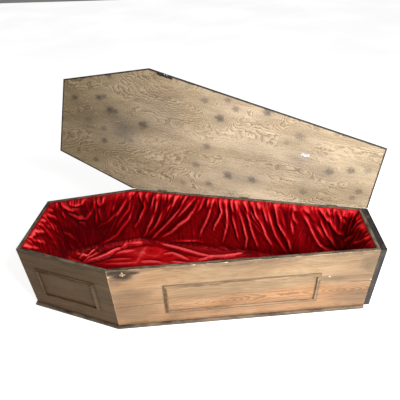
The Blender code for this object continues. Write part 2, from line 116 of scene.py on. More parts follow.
class Wiring:
    """Adds nodes to one tree and joins them. A value is a number, a colour or another node's socket."""

    def __init__(self, tree):
        self.tree = tree

    def put(self, socket, value):
        """Sets a socket to a value, or joins another socket to it."""
        if isinstance(value, bpy.types.NodeSocket):
            self.tree.links.new(value, socket)
        elif value is not None:
            socket.default_value = value

    def node(self, kind):
        """A node of a kind."""
        return self.tree.nodes.new(kind)

    def math(self, operation, first, second=None, third=None):
        """One arithmetic step."""
        made = self.node("ShaderNodeMath")
        made.operation = operation
        for place, value in enumerate((first, second, third)):
            self.put(made.inputs[place], value)
        return made.outputs[0]

    def times(self, first, second):
        """Two numbers multiplied."""
        return self.math("MULTIPLY", first, second)

    def plus(self, first, second):
        """Two numbers added."""
        return self.math("ADD", first, second)

    def minus(self, first, second):
        """The second number taken from the first."""
        return self.math("SUBTRACT", first, second)

    def vector(self, operation, first, second=None):
        """One arithmetic step on vectors."""
        made = self.node("ShaderNodeVectorMath")
        made.operation = operation
        self.put(made.inputs[0], first)
        self.put(made.inputs[1], second)
        return made.outputs["Value" if operation in ("LENGTH", "DISTANCE", "DOT_PRODUCT") else "Vector"]

    def split(self, vector):
        """The three parts of a vector."""
        made = self.node("ShaderNodeSeparateXYZ")
        self.put(made.inputs[0], vector)
        return made.outputs[0], made.outputs[1], made.outputs[2]

    def join(self, x, y, z):
        """A vector from its three parts."""
        made = self.node("ShaderNodeCombineXYZ")
        for place, value in enumerate((x, y, z)):
            self.put(made.inputs[place], value)
        return made.outputs[0]

    def placed(self, vector, move=(0.0, 0.0, 0.0), turn=(0.0, 0.0, 0.0), size=(1.0, 1.0, 1.0)):
        """A vector scaled, turned and moved."""
        made = self.node("ShaderNodeMapping")
        self.put(made.inputs["Vector"], vector)
        made.inputs["Location"].default_value = move
        made.inputs["Rotation"].default_value = turn
        made.inputs["Scale"].default_value = size
        return made.outputs[0]

    def noise(self, vector, scale, detail=3.0, roughness=0.5, distortion=0.0):
        """Cloudy noise from 0 to 1."""
        made = self.node("ShaderNodeTexNoise")
        self.put(made.inputs["Vector"], vector)
        self.put(made.inputs["Scale"], scale)
        self.put(made.inputs["Detail"], detail)
        self.put(made.inputs["Roughness"], roughness)
        self.put(made.inputs["Distortion"], distortion)
        return made.outputs["Fac"]

    def span(self, value, low, high, start=0.0, end=1.0, smooth=True):
        """A value stretched from low..high to start..end, held at the ends."""
        made = self.node("ShaderNodeMapRange")
        made.interpolation_type = "SMOOTHSTEP" if smooth else "LINEAR"
        for name, number in (("Value", value), ("From Min", low), ("From Max", high),
                             ("To Min", start), ("To Max", end)):
            self.put(made.inputs[name], number)
        return made.outputs["Result"]

    def mix(self, amount, first, second, blend="MIX"):
        """Two colours mixed."""
        made = self.node("ShaderNodeMix")
        made.data_type = "RGBA"
        made.blend_type = blend
        for place, value in ((0, amount), (6, first), (7, second)):
            self.put(made.inputs[place], value)
        return made.outputs[2]

    def over(self, under, mask, strength, cover):
        """A colour laid over another where a mask shows it, at a strength."""
        return self.mix(self.times(mask, strength), under, cover)

    def group(self, name, **values):
        """One of the shared effects, with its own values."""
        made = self.node("ShaderNodeGroup")
        made.node_tree = bpy.data.node_groups[name]
        for title, value in values.items():
            self.put(made.inputs[title.replace("_", " ")], value)
        return made.outputs

    def bump(self, height, strength, distance):
        """Relief from a height."""
        made = self.node("ShaderNodeBump")
        self.put(made.inputs["Height"], height)
        self.put(made.inputs["Strength"], strength)
        self.put(made.inputs["Distance"], distance)
        return made.outputs[0]


def new_effect(name, inputs, outputs):
    """An empty shared effect with named sockets: its wiring, its inputs and its output node."""
    tree = bpy.data.node_groups.new(name, "ShaderNodeTree")
    for title, value in inputs.items():
        vector = isinstance(value, tuple)
        kind = "NodeSocketVector" if vector else "NodeSocketFloat"
        socket = tree.interface.new_socket(name=title, in_out="INPUT", socket_type=kind)
        socket.default_value = value
    for title in outputs:
        tree.interface.new_socket(name=title, in_out="OUTPUT", socket_type="NodeSocketFloat")
    wiring = Wiring(tree)
    return wiring, wiring.node("NodeGroupInput").outputs, wiring.node("NodeGroupOutput").inputs


# Shared effects


def sawn_grain_effect():
    """Growth rings as a tangential saw cut shows them: long lines, arches and closed ovals."""
    w, given, out = new_effect("sawn grain", {
        "Vector": (0.0, 0.0, 0.0), "Seed": 0.0, "Pith Height": 0.1, "Pith Depth": 0.04,
        "Wander": 0.12, "Ring Spacing": 0.008, "Eye": 0.6}, ("Rings", "Fibre", "Tone"))
    x, y, z = w.split(given["Vector"])
    slow = w.join(w.times(x, 1.0), given["Seed"], w.times(z, 0.6))
    sway = w.minus(w.noise(slow, 1.4, 1.0), 0.5)
    lift = w.minus(w.noise(w.vector("ADD", slow, (7.3, 1.9, 4.1)), 2.1, 1.5), 0.5)
    wave = w.minus(w.noise(w.placed(given["Vector"], size=(5.0, 1.0, 16.0)), 1.6, 2.0), 0.5)
    middle = w.plus(given["Pith Height"], w.times(sway, 0.05))
    from_eye = w.math("ABSOLUTE", w.minus(x, given["Eye"]))
    reach = w.math("SMOOTH_MIN", w.math("PINGPONG", from_eye, 0.30), 0.175, 0.09)
    open_out = w.times(reach, given["Wander"])
    depth = w.plus(given["Pith Depth"], w.times(lift, 0.020))
    depth = w.plus(depth, open_out)
    across = w.minus(z, middle)
    square = w.plus(w.times(across, across), w.times(depth, depth))
    radius = w.math("SQRT", square)
    jag = w.minus(w.noise(w.placed(given["Vector"], size=(34.0, 1.0, 60.0)), 1.0, 2.0), 0.5)
    radius = w.plus(radius, w.times(wave, 0.008))
    radius = w.plus(radius, w.times(jag, 0.0060))
    turn = w.math("FRACT", w.math("DIVIDE", radius, given["Ring Spacing"]))
    late = w.math("POWER", turn, 1.9)
    drop = w.span(turn, 0.90, 1.0, 1.0, 0.0)
    w.put(out["Rings"], w.times(late, drop))
    w.put(out["Fibre"], w.noise(w.placed(given["Vector"], size=(7.0, 60.0, 210.0)), 1.0, 4.0, 0.6))
    w.put(out["Tone"], w.noise(w.placed(given["Vector"], size=(2.4, 3.0, 9.0)), 1.0, 3.0, 0.55))


def peeled_grain_effect():
    """Wandering contour lines of a peeled veneer, drawn round whatever lifts its height."""
    w, given, out = new_effect("peeled grain", {
        "Vector": (0.0, 0.0, 0.0), "Lift": 0.0, "Lines": 26.0, "Stretch": 0.34},
        ("Dark", "Light", "Tone"))
    x, y, z = w.split(given["Vector"])
    long_way = w.times(x, given["Stretch"])
    flat = w.join(long_way, y, 0.0)
    broad = w.noise(flat, 4.2, 1.0, 0.5)
    crinkle = w.noise(w.join(w.times(x, 0.7), y, 3.0), 24.0, 3.0, 0.60)
    height = w.plus(broad, w.times(crinkle, 0.085))
    height = w.plus(height, given["Lift"])
    turn = w.math("FRACT", w.times(height, given["Lines"]))
    dark = w.times(w.span(turn, 0.50, 0.84), w.span(turn, 0.88, 1.0, 1.0, 0.0))
    light = w.times(w.span(turn, 0.0, 0.10), w.span(turn, 0.14, 0.36, 1.0, 0.0))
    seen = w.noise(w.vector("ADD", flat, (5.0, 3.0, 1.0)), 11.0, 3.0, 0.6)
    w.put(out["Dark"], w.times(dark, w.span(seen, 0.32, 0.58, 0.25, 1.0)))
    w.put(out["Light"], w.times(light, w.span(seen, 0.44, 0.66, 0.10, 1.0)))
    w.put(out["Tone"], w.noise(flat, 9.0, 4.0, 0.6))


def mark_effect():
    """A soft-edged mark at a place, longer one way than the other, with a ragged outline."""
    w, given, out = new_effect("mark", {
        "Vector": (0.0, 0.0, 0.0), "Place": (0.0, 0.0, 0.0), "Half Size": (0.02, 0.02, 0.02),
        "Ragged": 0.35}, ("Mark", "Hill"))
    away = w.vector("SUBTRACT", given["Vector"], given["Place"])
    away = w.vector("DIVIDE", away, given["Half Size"])
    length = w.vector("LENGTH", away)
    rough = w.minus(w.noise(w.vector("ADD", away, given["Place"]), 1.7, 3.0), 0.5)
    ragged = w.plus(length, w.times(rough, w.times(given["Ragged"], 4.0)))
    w.put(out["Mark"], w.span(ragged, 0.35, 1.15, 1.0, 0.0))
    w.put(out["Hill"], w.math("EXPONENT", w.times(w.times(length, length), -0.35)))


def grime_effect():
    """Handling dirt in clouds, with a finer speckle."""
    w, given, out = new_effect("grime", {
        "Vector": (0.0, 0.0, 0.0), "Scale": 6.0, "Cover": 0.5}, ("Clouds", "Speckle"))
    clouds = w.noise(given["Vector"], given["Scale"], 5.0, 0.62, 0.4)
    low = w.minus(1.0, given["Cover"])
    w.put(out["Clouds"], w.span(clouds, w.minus(low, 0.12), w.plus(low, 0.16)))
    speckle = w.noise(given["Vector"], w.times(given["Scale"], 22.0), 3.0, 0.7)
    w.put(out["Speckle"], w.span(speckle, 0.60, 0.74))


def worn_edge_effect():
    """Wear that eats in from an edge, given the distance from that edge."""
    w, given, out = new_effect("worn edge", {
        "Vector": (0.0, 0.0, 0.0), "Distance": 0.0, "Reach": 0.006, "Scale": 30.0}, ("Wear",))
    rough = w.noise(given["Vector"], given["Scale"], 4.0, 0.65)
    reach = w.times(given["Reach"], w.span(rough, 0.3, 0.75, 0.1, 1.6, False))
    share = w.math("DIVIDE", given["Distance"], w.math("MAXIMUM", reach, 0.0002))
    w.put(out["Wear"], w.span(share, 0.5, 1.0, 1.0, 0.0))


def pile_effect():
    """Short pile of a pressed velvet: fine specks, and patches brushed one way or the other."""
    w, given, out = new_effect("cloth pile", {
        "Vector": (0.0, 0.0, 0.0), "Scale": 1.0}, ("Pile", "Brushed", "Creases"))
    scale = given["Scale"]
    point = w.vector("MULTIPLY", given["Vector"], w.join(scale, scale, scale))
    w.put(out["Pile"], w.noise(point, 700.0, 2.0, 0.6))
    w.put(out["Brushed"], w.noise(point, 9.0, 4.0, 0.6, 0.8))
    w.put(out["Creases"], w.noise(point, 38.0, 3.0, 0.55, 1.6))


# Finishes


def colour(red, green, blue):
    """A colour from its values on a screen, 0 to 255, as the renderer wants it."""
    parts = []
    for value in (red, green, blue):
        share = value / 255.0
        parts.append(share / 12.92 if share <= 0.04045 else ((share + 0.055) / 1.055) ** 2.4)
    return (parts[0], parts[1], parts[2], 1.0)


def new_finish(name):
    """An empty material: its wiring, its shader's sockets and the point on the surface."""
    material = bpy.data.materials.new(name)
    material.use_nodes = True
    wiring = Wiring(material.node_tree)
    shader = material.node_tree.nodes["Principled BSDF"]
    where = wiring.node("ShaderNodeTexCoord")
    return material, wiring, shader.inputs, where.outputs["Object"]


def surface_direction(where):
    """The direction that the surface faces, from the node that also gives its point."""
    return where.node.outputs["Normal"]


def board_mapping(wiring, where, wall):
    """Board coordinates: X along the board from its corner, Y out of its face, Z up from its foot."""
    along = wall_direction(wall)
    corner = plan_corners()[wall]
    turn = -math.atan2(along.y, along.x)
    start = Vector((corner.x, corner.y, WALL_FOOT))
    start.rotate(Euler((0.0, 0.0, turn)))
    return wiring.placed(where, move=-start, turn=(0.0, 0.0, turn))


def lid_mapping(wiring, where):
    """Lid coordinates as when the lid is shut, from the place that it has open."""
    axis = Vector(LID_HINGE["axis"])
    centre = Vector(LID_HINGE["pos_m"])
    back = Matrix.Rotation(LID_OPEN_ANGLE, 3, axis)
    move = centre - back @ centre
    return wiring.placed(where, move=move, turn=back.to_euler("XYZ"))


def marks(wiring, point, places):
    """Several marks joined: each place, its half size and its raggedness."""
    total = None
    for place, half_size, ragged in places:
        made = wiring.group("mark", Vector=point, Place=place, Half_Size=half_size, Ragged=ragged)
        total = made["Mark"] if total is None else wiring.math("MAXIMUM", total, made["Mark"])
    return total


def board_finish(name, wall, joint, pith, stains=(), chips=(), shade=(1.0, 1.0, 1.0, 1.0), dirt_and_shade_marks=()):
    """Stained and varnished softwood in two planks, greyer above the joint, dirty towards the rim, with
    painted shade towards both ends and from its shade colour.
    """
    look = bpy.context.scene.coffin_timber
    material, w, shader, where = new_finish(name)
    point = board_mapping(w, where, wall)
    x, y, z = w.split(point)
    joint_wave = w.times(w.minus(w.noise(point, 7.0, 2.0), 0.5), 0.006)
    joint_height = w.plus(w.span(x, 0.0, 1.0, joint[0], joint[1], False), joint_wave)
    above = w.minus(z, joint_height)
    upper = w.span(above, -0.0015, 0.0015)
    grain_low = w.group("sawn grain", Vector=point, Seed=pith[0], Pith_Height=pith[1],
                        Pith_Depth=pith[2], Wander=pith[3], Ring_Spacing=0.0088, Eye=0.594)
    grain_high = w.group("sawn grain", Vector=point, Seed=pith[0] + 3.7, Pith_Height=0.31,
                         Pith_Depth=0.10, Wander=0.16, Ring_Spacing=0.013, Eye=0.28)
    rings = w.mix(upper, grain_low["Rings"], grain_high["Rings"])
    fibre = w.span(grain_low["Fibre"], 0.32, 0.70)
    tone = w.span(grain_low["Tone"], 0.30, 0.70)
    low_body = w.mix(tone, look.orange_pine, look.tan_pine)
    high_body = w.mix(tone, look.grey_pine, look.pale_pine)
    high_body = w.mix(w.span(x, 0.10, 0.55, 0.80, 0.0), high_body, low_body)
    body = w.mix(upper, low_body, high_body)
    bands = w.noise(w.placed(point, move=(3.1, 0.0, pith[0]), size=(1.7, 1.0, 26.0)), 1.0, 3.0, 0.6)
    body = w.over(body, w.span(bands, 0.46, 0.70), 0.28, look.fibre_dark)
    body = w.over(body, w.span(bands, 0.44, 0.26), 0.25, look.worn)
    ring_dark = w.mix(upper, look.ring_orange, look.ring_grey)
    faded = w.span(w.noise(w.placed(point, size=(2.6, 1.0, 5.0)), 1.0, 2.0), 0.32, 0.62, 0.35, 1.0)
    ring_share = w.mix(upper, w.times(rings, 0.78), w.times(rings, 0.42))
    faded = w.times(faded, w.span(x, 0.16, 0.40, 0.25, 1.0))
    body = w.mix(w.times(ring_share, faded), body, ring_dark)
    streaks = w.noise(w.placed(point, size=(7.0, 60.0, 170.0)), 1.0, 4.0, 0.72)
    body = w.over(body, w.span(streaks, 0.48, 0.70), 0.55, look.fibre_dark)
    body = w.over(body, w.span(streaks, 0.44, 0.30), 0.30, look.worn)
    body = w.over(body, w.minus(1.0, fibre), 0.26, look.fibre_dark)
    grime = w.group("grime", Vector=point, Scale=5.5, Cover=0.40)
    body = w.over(body, grime["Clouds"], 0.24, look.grime)
    body = w.over(body, grime["Speckle"], 0.20, look.grime)
    # The given marks are partly handling dirt and partly painted shade, both laid on in the grime
    # colour.
    if dirt_and_shade_marks:
        body = w.over(body, marks(w, point, dirt_and_shade_marks), 0.36, look.grime)
    crack = w.span(w.math("ABSOLUTE", above), 0.0006, 0.0026, 1.0, 0.0)
    broken = w.noise(w.placed(point, size=(1.0, 1.0, 0.2)), 6.5, 2.0)
    split = w.math("MAXIMUM", w.span(broken, 0.48, 0.60), w.span(x, 0.18, 0.26, 1.0, 0.0))
    crack = w.times(crack, split)
    body = w.over(body, crack, 0.75, look.ring_orange)
    down = w.minus(RIM - WALL_FOOT, z)
    dirty_rim = w.group("worn edge", Vector=point, Distance=down, Reach=0.030, Scale=14.0)["Wear"]
    body = w.over(body, dirty_rim, 0.40, look.grime)
    dirty_foot = w.group("worn edge", Vector=point, Distance=z, Reach=0.026, Scale=11.0)["Wear"]
    body = w.over(body, dirty_foot, 0.45, look.fibre_dark)
    # Painted shade: a dark line along the board's foot, in the crevice above the base board.
    foot_line = w.group("worn edge", Vector=point, Distance=z, Reach=0.0045, Scale=30.0)["Wear"]
    body = w.over(body, foot_line, 0.8, look.stain)
    if stains:
        body = w.over(body, marks(w, point, stains), 0.88, look.stain)
    # Painted shade: the board darkens towards both ends, and its colour is multiplied by its shade
    # colour.
    away = w.times(w.span(x, 0.95, 1.42, 1.0, 0.76), w.span(x, 0.05, 0.42, 0.89, 1.0))
    body = w.mix(1.0, body, w.mix(1.0, shade, w.join(away, away, away), "MULTIPLY"), "MULTIPLY")
    top = w.span(w.split(surface_direction(where))[2], 0.55, 0.85)
    inner_edge = w.times(w.span(down, 0.0022, 0.0042, 1.0, 0.0), w.span(y, 0.004, 0.008))
    top = w.math("MAXIMUM", top, inner_edge)
    rim_noise = w.noise(w.placed(point, size=(14.0, 60.0, 60.0)), 1.0, 4.0, 0.65)
    rim_body = w.mix(w.span(rim_noise, 0.35, 0.68), look.rim_dark, look.rim_grey)
    body = w.mix(top, body, rim_body)
    from_edge = w.mix(top, down, w.math("ABSOLUTE", y))
    arris = w.math("MINIMUM", x, from_edge)
    worn = w.group("worn edge", Vector=point, Distance=arris, Reach=0.0040, Scale=42.0)["Wear"]
    worn = w.times(worn, w.span(w.noise(point, 16.0, 2.0), 0.42, 0.62))
    body = w.mix(w.times(worn, 0.6), body, w.mix(1.0, look.worn, shade, "MULTIPLY"))
    corner = w.group("worn edge", Vector=point, Distance=x, Reach=0.0080, Scale=30.0)["Wear"]
    body = w.mix(w.times(corner, 0.40), body, w.mix(1.0, look.worn, shade, "MULTIPLY"))
    if chips:
        body = w.mix(marks(w, point, chips), body, look.chip)
    w.put(shader["Base Color"], body)
    w.put(shader["Roughness"], w.span(fibre, 0.0, 1.0, 0.62, 0.44, False))
    shader["Specular IOR Level"].default_value = 0.35
    height = w.plus(w.times(fibre, 0.5), w.times(rings, -0.5))
    height = w.minus(height, w.times(crack, 1.5))
    w.put(shader["Normal"], w.bump(height, 0.35, 0.0012))
    return material


def strip_finish(name, wall, shade):
    """Moulded strips: a greyer stain, painted shade in the hollow, rubbed beads, and the whole
    multiplied by a shade colour.
    """
    look = bpy.context.scene.coffin_timber
    material, w, shader, where = new_finish(name)
    point = board_mapping(w, where, wall)
    y = w.split(point)[1]
    long_noise = w.noise(w.placed(point, size=(9.0, 80.0, 90.0)), 1.0, 4.0, 0.6)
    cross_noise = w.noise(w.placed(point, size=(30.0, 30.0, 30.0)), 1.0, 4.0, 0.6)
    body = w.mix(w.span(long_noise, 0.32, 0.68), look.strip_dark, look.strip_light)
    body = w.over(body, w.span(cross_noise, 0.45, 0.7), 0.5, look.strip_mid)
    proud = w.times(y, -1.0)
    # Painted shade: the hollow of the moulding is darkened in the grime colour.
    hollow = w.span(proud, 0.0020, 0.0052, 1.0, 0.0)
    body = w.over(body, hollow, 0.55, look.grime)
    crest = w.span(proud, 0.0085, 0.0099)
    rubbed = w.times(crest, w.span(cross_noise, 0.42, 0.66))
    body = w.over(body, rubbed, 0.45, look.worn)
    w.put(shader["Base Color"], w.mix(1.0, body, shade, "MULTIPLY"))
    w.put(shader["Roughness"], w.span(long_noise, 0.3, 0.7, 0.62, 0.48, False))
    w.put(shader["Normal"], w.bump(long_noise, 0.3, 0.001))
    return material


def base_finish():
    """Dark grey-brown paint, rubbed through along the rounded lip."""
    look = bpy.context.scene.coffin_timber
    material, w, shader, where = new_finish("base_board_paint")
    z = w.split(where)[2]
    patches = w.noise(w.placed(where, size=(9.0, 9.0, 30.0)), 1.0, 5.0, 0.65)
    body = w.mix(w.span(patches, 0.34, 0.66), look.base_dark, look.base_light)
    from_middle = w.math("ABSOLUTE", w.minus(z, 0.0125))
    worn = w.group("worn edge", Vector=where, Distance=from_middle, Reach=0.009, Scale=26.0)["Wear"]
    body = w.over(body, worn, 0.5, look.rim_grey)
    grime = w.group("grime", Vector=where, Scale=12.0, Cover=0.4)
    body = w.over(body, grime["Clouds"], 0.5, look.base_dark)
    w.put(shader["Base Color"], body)
    w.put(shader["Roughness"], w.span(patches, 0.3, 0.7, 0.7, 0.5, False))
    w.put(shader["Normal"], w.bump(patches, 0.35, 0.0015))
    return material


def black_paint_finish():
    """Dull black paint on the foot block, brushed along it, brown where it has rubbed thin."""
    look = bpy.context.scene.coffin_timber
    material, w, shader, where = new_finish("foot_block_paint")
    x, y, z = w.split(where)
    brushed = w.noise(w.placed(where, size=(60.0, 60.0, 7.0)), 1.0, 4.0, 0.65)
    patches = w.noise(where, 13.0, 4.0, 0.6)
    body = w.mix(w.span(brushed, 0.36, 0.70), look.black, look.black_brown)
    top = w.span(w.split(surface_direction(where))[2], 0.5, 0.9)
    body = w.over(body, top, 0.75, look.black)
    body = w.over(body, w.span(patches, 0.52, 0.70), 0.35, look.rim_grey)
    end = w.minus(LENGTH / 2.0, x)
    arris = w.math("MAXIMUM", end, w.minus(RIM, z))
    worn = w.group("worn edge", Vector=where, Distance=arris, Reach=0.0045, Scale=38.0)["Wear"]
    body = w.over(body, worn, 0.4, look.rim_grey)
    w.put(shader["Base Color"], body)
    w.put(shader["Roughness"], w.span(patches, 0.35, 0.65, 0.42, 0.60, False))
    w.put(shader["Normal"], w.bump(brushed, 0.3, 0.001))
    return material


# Knots on the lid's inner face: place along from the head, place across, half length, strength
LID_KNOTS = (
    (0.072, -0.128, 0.016, 0.9), (0.227, -0.155, 0.017, 0.9), (0.258, -0.166, 0.014, 0.7),
    (0.280, -0.286, 0.014, 0.7), (0.303, -0.094, 0.020, 1.0), (0.336, -0.091, 0.016, 0.8),
    (0.172, -0.012, 0.018, 0.4), (0.275, 0.024, 0.016, 0.6), (0.284, 0.097, 0.017, 0.8),
    (0.237, 0.229, 0.016, 0.7), (0.520, -0.044, 0.024, 0.9), (0.870, -0.251, 0.018, 0.6),
    (1.000, -0.275, 0.016, 0.6), (1.054, -0.234, 0.016, 0.7), (0.973, -0.168, 0.022, 0.9),
    (1.233, -0.250, 0.022, 0.9), (1.435, -0.154, 0.022, 0.6), (1.373, -0.107, 0.013, 0.5),
    (0.926, 0.006, 0.017, 0.7), (0.879, 0.127, 0.018, 0.6), (1.081, 0.152, 0.022, 0.9),
    (1.226, 0.146, 0.020, 0.8), (0.977, 0.226, 0.018, 0.7), (0.817, 0.255, 0.014, 0.5),
    (1.639, 0.007, 0.020, 0.8), (1.752, -0.023, 0.018, 0.8), (1.839, -0.042, 0.016, 0.5),
    (1.529, 0.152, 0.018, 0.6), (1.827, 0.085, 0.016, 0.7), (1.801, 0.127, 0.014, 0.6),
)
LID_SMUDGES = (
    (0.398, 0.013, 0.055, 0.050, 0.85), (0.350, -0.050, 0.060, 0.035, 0.5),
    (0.640, -0.150, 0.080, 0.060, 0.25), (1.460, -0.020, 0.060, 0.050, 0.4),
    (1.300, 0.020, 0.110, 0.060, 0.25), (0.200, 0.010, 0.100, 0.060, 0.3),
    (1.160, 0.150, 0.090, 0.030, 0.35), (1.560, 0.050, 0.080, 0.040, 0.3),
)


# How far outside each wall the lid's painted border starts: at the lid's edge, except at the hinges
LID_BORDER_STARTS = (0.010, 0.010, 0.010, 0.0, 0.016, 0.010)


def lid_finish():
    """Peeled knotty ply inside, sawn boards outside, and dark painted edges; painted shade darkens the
    inner face towards its ends.
    """
    look = bpy.context.scene.coffin_timber
    material, w, shader, where = new_finish("lid_timber")
    point = lid_mapping(w, where)
    x, y, z = w.split(point)
    flat = w.join(x, y, 0.0)
    lift = None
    smudge = None
    for along, across, half, strength in LID_KNOTS:
        made = w.group("mark", Vector=flat, Place=(along - LENGTH / 2.0, across, 0.0),
                       Half_Size=(half * 1.60, half * 1.15, 1.0), Ragged=0.42)
        hill = w.times(made["Hill"], 0.20 + 0.16 * strength)
        soft_knot = w.math("MULTIPLY_ADD", made["Mark"], 0.76, w.times(made["Hill"], 0.24))
        dark = w.times(soft_knot, strength)
        lift = hill if lift is None else w.plus(lift, hill)
        smudge = dark if smudge is None else w.math("MAXIMUM", smudge, dark)
    cloud = None
    for along, across, half_length, half_width, strength in LID_SMUDGES:
        made = w.group("mark", Vector=flat, Place=(along - LENGTH / 2.0, across, 0.0),
                       Half_Size=(half_length, half_width, 1.0), Ragged=0.40)
        soft = w.times(made["Hill"], strength)
        cloud = soft if cloud is None else w.math("MAXIMUM", cloud, soft)
    grain = w.group("peeled grain", Vector=flat, Lift=lift, Lines=42.0, Stretch=0.20)
    tone = w.span(grain["Tone"], 0.30, 0.70)
    inside = w.mix(tone, look.ply_dark, look.ply_light)
    inside = w.over(inside, grain["Dark"], 0.62, look.ply_line)
    inside = w.over(inside, grain["Light"], 0.58, look.ply_cream)
    fine = w.noise(w.placed(flat, size=(11.0, 170.0, 1.0)), 1.0, 4.0, 0.65)
    inside = w.over(inside, w.span(fine, 0.48, 0.72), 0.38, look.ply_line)
    inside = w.over(inside, w.span(fine, 0.42, 0.28), 0.25, look.ply_cream)
    grime = w.group("grime", Vector=point, Scale=3.2, Cover=0.42)
    inside = w.over(inside, grime["Clouds"], 0.35, look.ply_grime)
    inside = w.over(inside, grime["Speckle"], 0.25, look.ply_smudge)
    specks = w.noise(w.placed(flat, size=(1.0, 1.3, 1.0)), 130.0, 3.0, 0.7)
    inside = w.over(inside, w.span(specks, 0.52, 0.68), 0.42, look.ply_cream)
    inside = w.over(inside, w.span(specks, 0.46, 0.32), 0.32, look.ply_line)
    inside = w.over(inside, cloud, 0.75, look.ply_smudge)
    inside = w.over(inside, smudge, 0.80, look.knot)
    # Painted shade: the inner face darkens towards the head and a little towards the foot, its blue the
    # most.
    spread = w.plus(x, w.times(grain["Tone"], 0.30))
    painted_falloff = w.times(w.span(spread, -0.95, 0.30, 0.52, 1.0), w.span(x, 0.20, 0.95, 0.95, 0.76))
    bluer = w.math("POWER", painted_falloff, 1.22)
    inside = w.mix(1.0, inside, w.join(w.math("POWER", painted_falloff, 0.95), painted_falloff, bluer), "MULTIPLY")
    cream = w.group("mark", Vector=flat, Place=(0.32, 0.222, 0.0),
                    Half_Size=(0.10, 0.022, 1.0), Ragged=0.4)
    inside = w.over(inside, cream["Hill"], 0.34, look.ply_cream)
    outside_point = w.vector("ADD", w.join(x, 0.0, y), (0.0, 0.0, 0.36))
    boards = w.group("sawn grain", Vector=outside_point, Seed=11.3, Pith_Height=0.30, Pith_Depth=0.05,
                     Wander=0.16, Ring_Spacing=0.010)
    outside = w.mix(w.span(boards["Tone"], 0.3, 0.7), look.orange_pine, look.tan_pine)
    outside = w.over(outside, boards["Rings"], 0.5, look.ring_orange)
    outside = w.over(outside, grime["Clouds"], 0.35, look.grime)
    level = w.span(z, RIM + 0.006, RIM + 0.012)
    body = w.mix(level, inside, outside)
    outer = None
    corners = plan_corners()
    for wall, overhang in enumerate(LID_BORDER_STARTS):
        along = wall_direction(wall)
        inward = Vector((-along.y, along.x, 0.0))
        start = inward.dot(corners[wall].to_3d()) - overhang
        gap = w.minus(w.vector("DOT_PRODUCT", flat, tuple(inward)), start)
        outer = gap if outer is None else w.math("MINIMUM", outer, gap)
    border = w.group("worn edge", Vector=point, Distance=outer, Reach=0.0130, Scale=16.0)["Wear"]
    narrow = w.span(outer, 0.0062, 0.0105, 1.0, 0.0)
    dark_edge = w.math("MAXIMUM", w.times(border, 0.85), narrow)
    edge_noise = w.noise(w.placed(point, size=(20.0, 20.0, 60.0)), 1.0, 4.0, 0.6)
    edge_paint = w.mix(w.span(edge_noise, 0.45, 0.72), look.edge_paint, look.black_brown)
    body = w.mix(dark_edge, body, edge_paint)
    w.put(shader["Base Color"], body)
    w.put(shader["Roughness"], w.span(fine, 0.3, 0.7, 0.64, 0.50, False))
    shader["Specular IOR Level"].default_value = 0.30
    height = w.minus(w.times(fine, 0.5), w.times(grain["Dark"], 0.5))
    w.put(shader["Normal"], w.bump(height, 0.30, 0.001))
    return material


def metal_finish(name, body_dark, body_light, metallic, rough_low, rough_high, dirt):
    """Worn metal: blotched tone, fine scratches and dirt in patches."""
    material, w, shader, where = new_finish(name)
    blotch = w.noise(where, 90.0, 4.0, 0.6)
    scratch = w.noise(w.placed(where, size=(60.0, 900.0, 900.0)), 1.0, 3.0, 0.7)
    grime = w.group("grime", Vector=where, Scale=110.0, Cover=dirt)
    body = w.mix(w.span(blotch, 0.35, 0.65), body_dark, body_light)
    body = w.mix(w.times(grime["Clouds"], 0.6), body, colour(52, 44, 38))
    w.put(shader["Base Color"], body)
    w.put(shader["Metallic"], w.span(grime["Clouds"], 0.0, 1.0, metallic, metallic * 0.4, False))
    w.put(shader["Roughness"], w.span(w.plus(scratch, grime["Clouds"]), 0.3, 1.4,
                                      rough_low, rough_high, False))
    w.put(shader["Normal"], w.bump(scratch, 0.15, 0.0003))
    return material


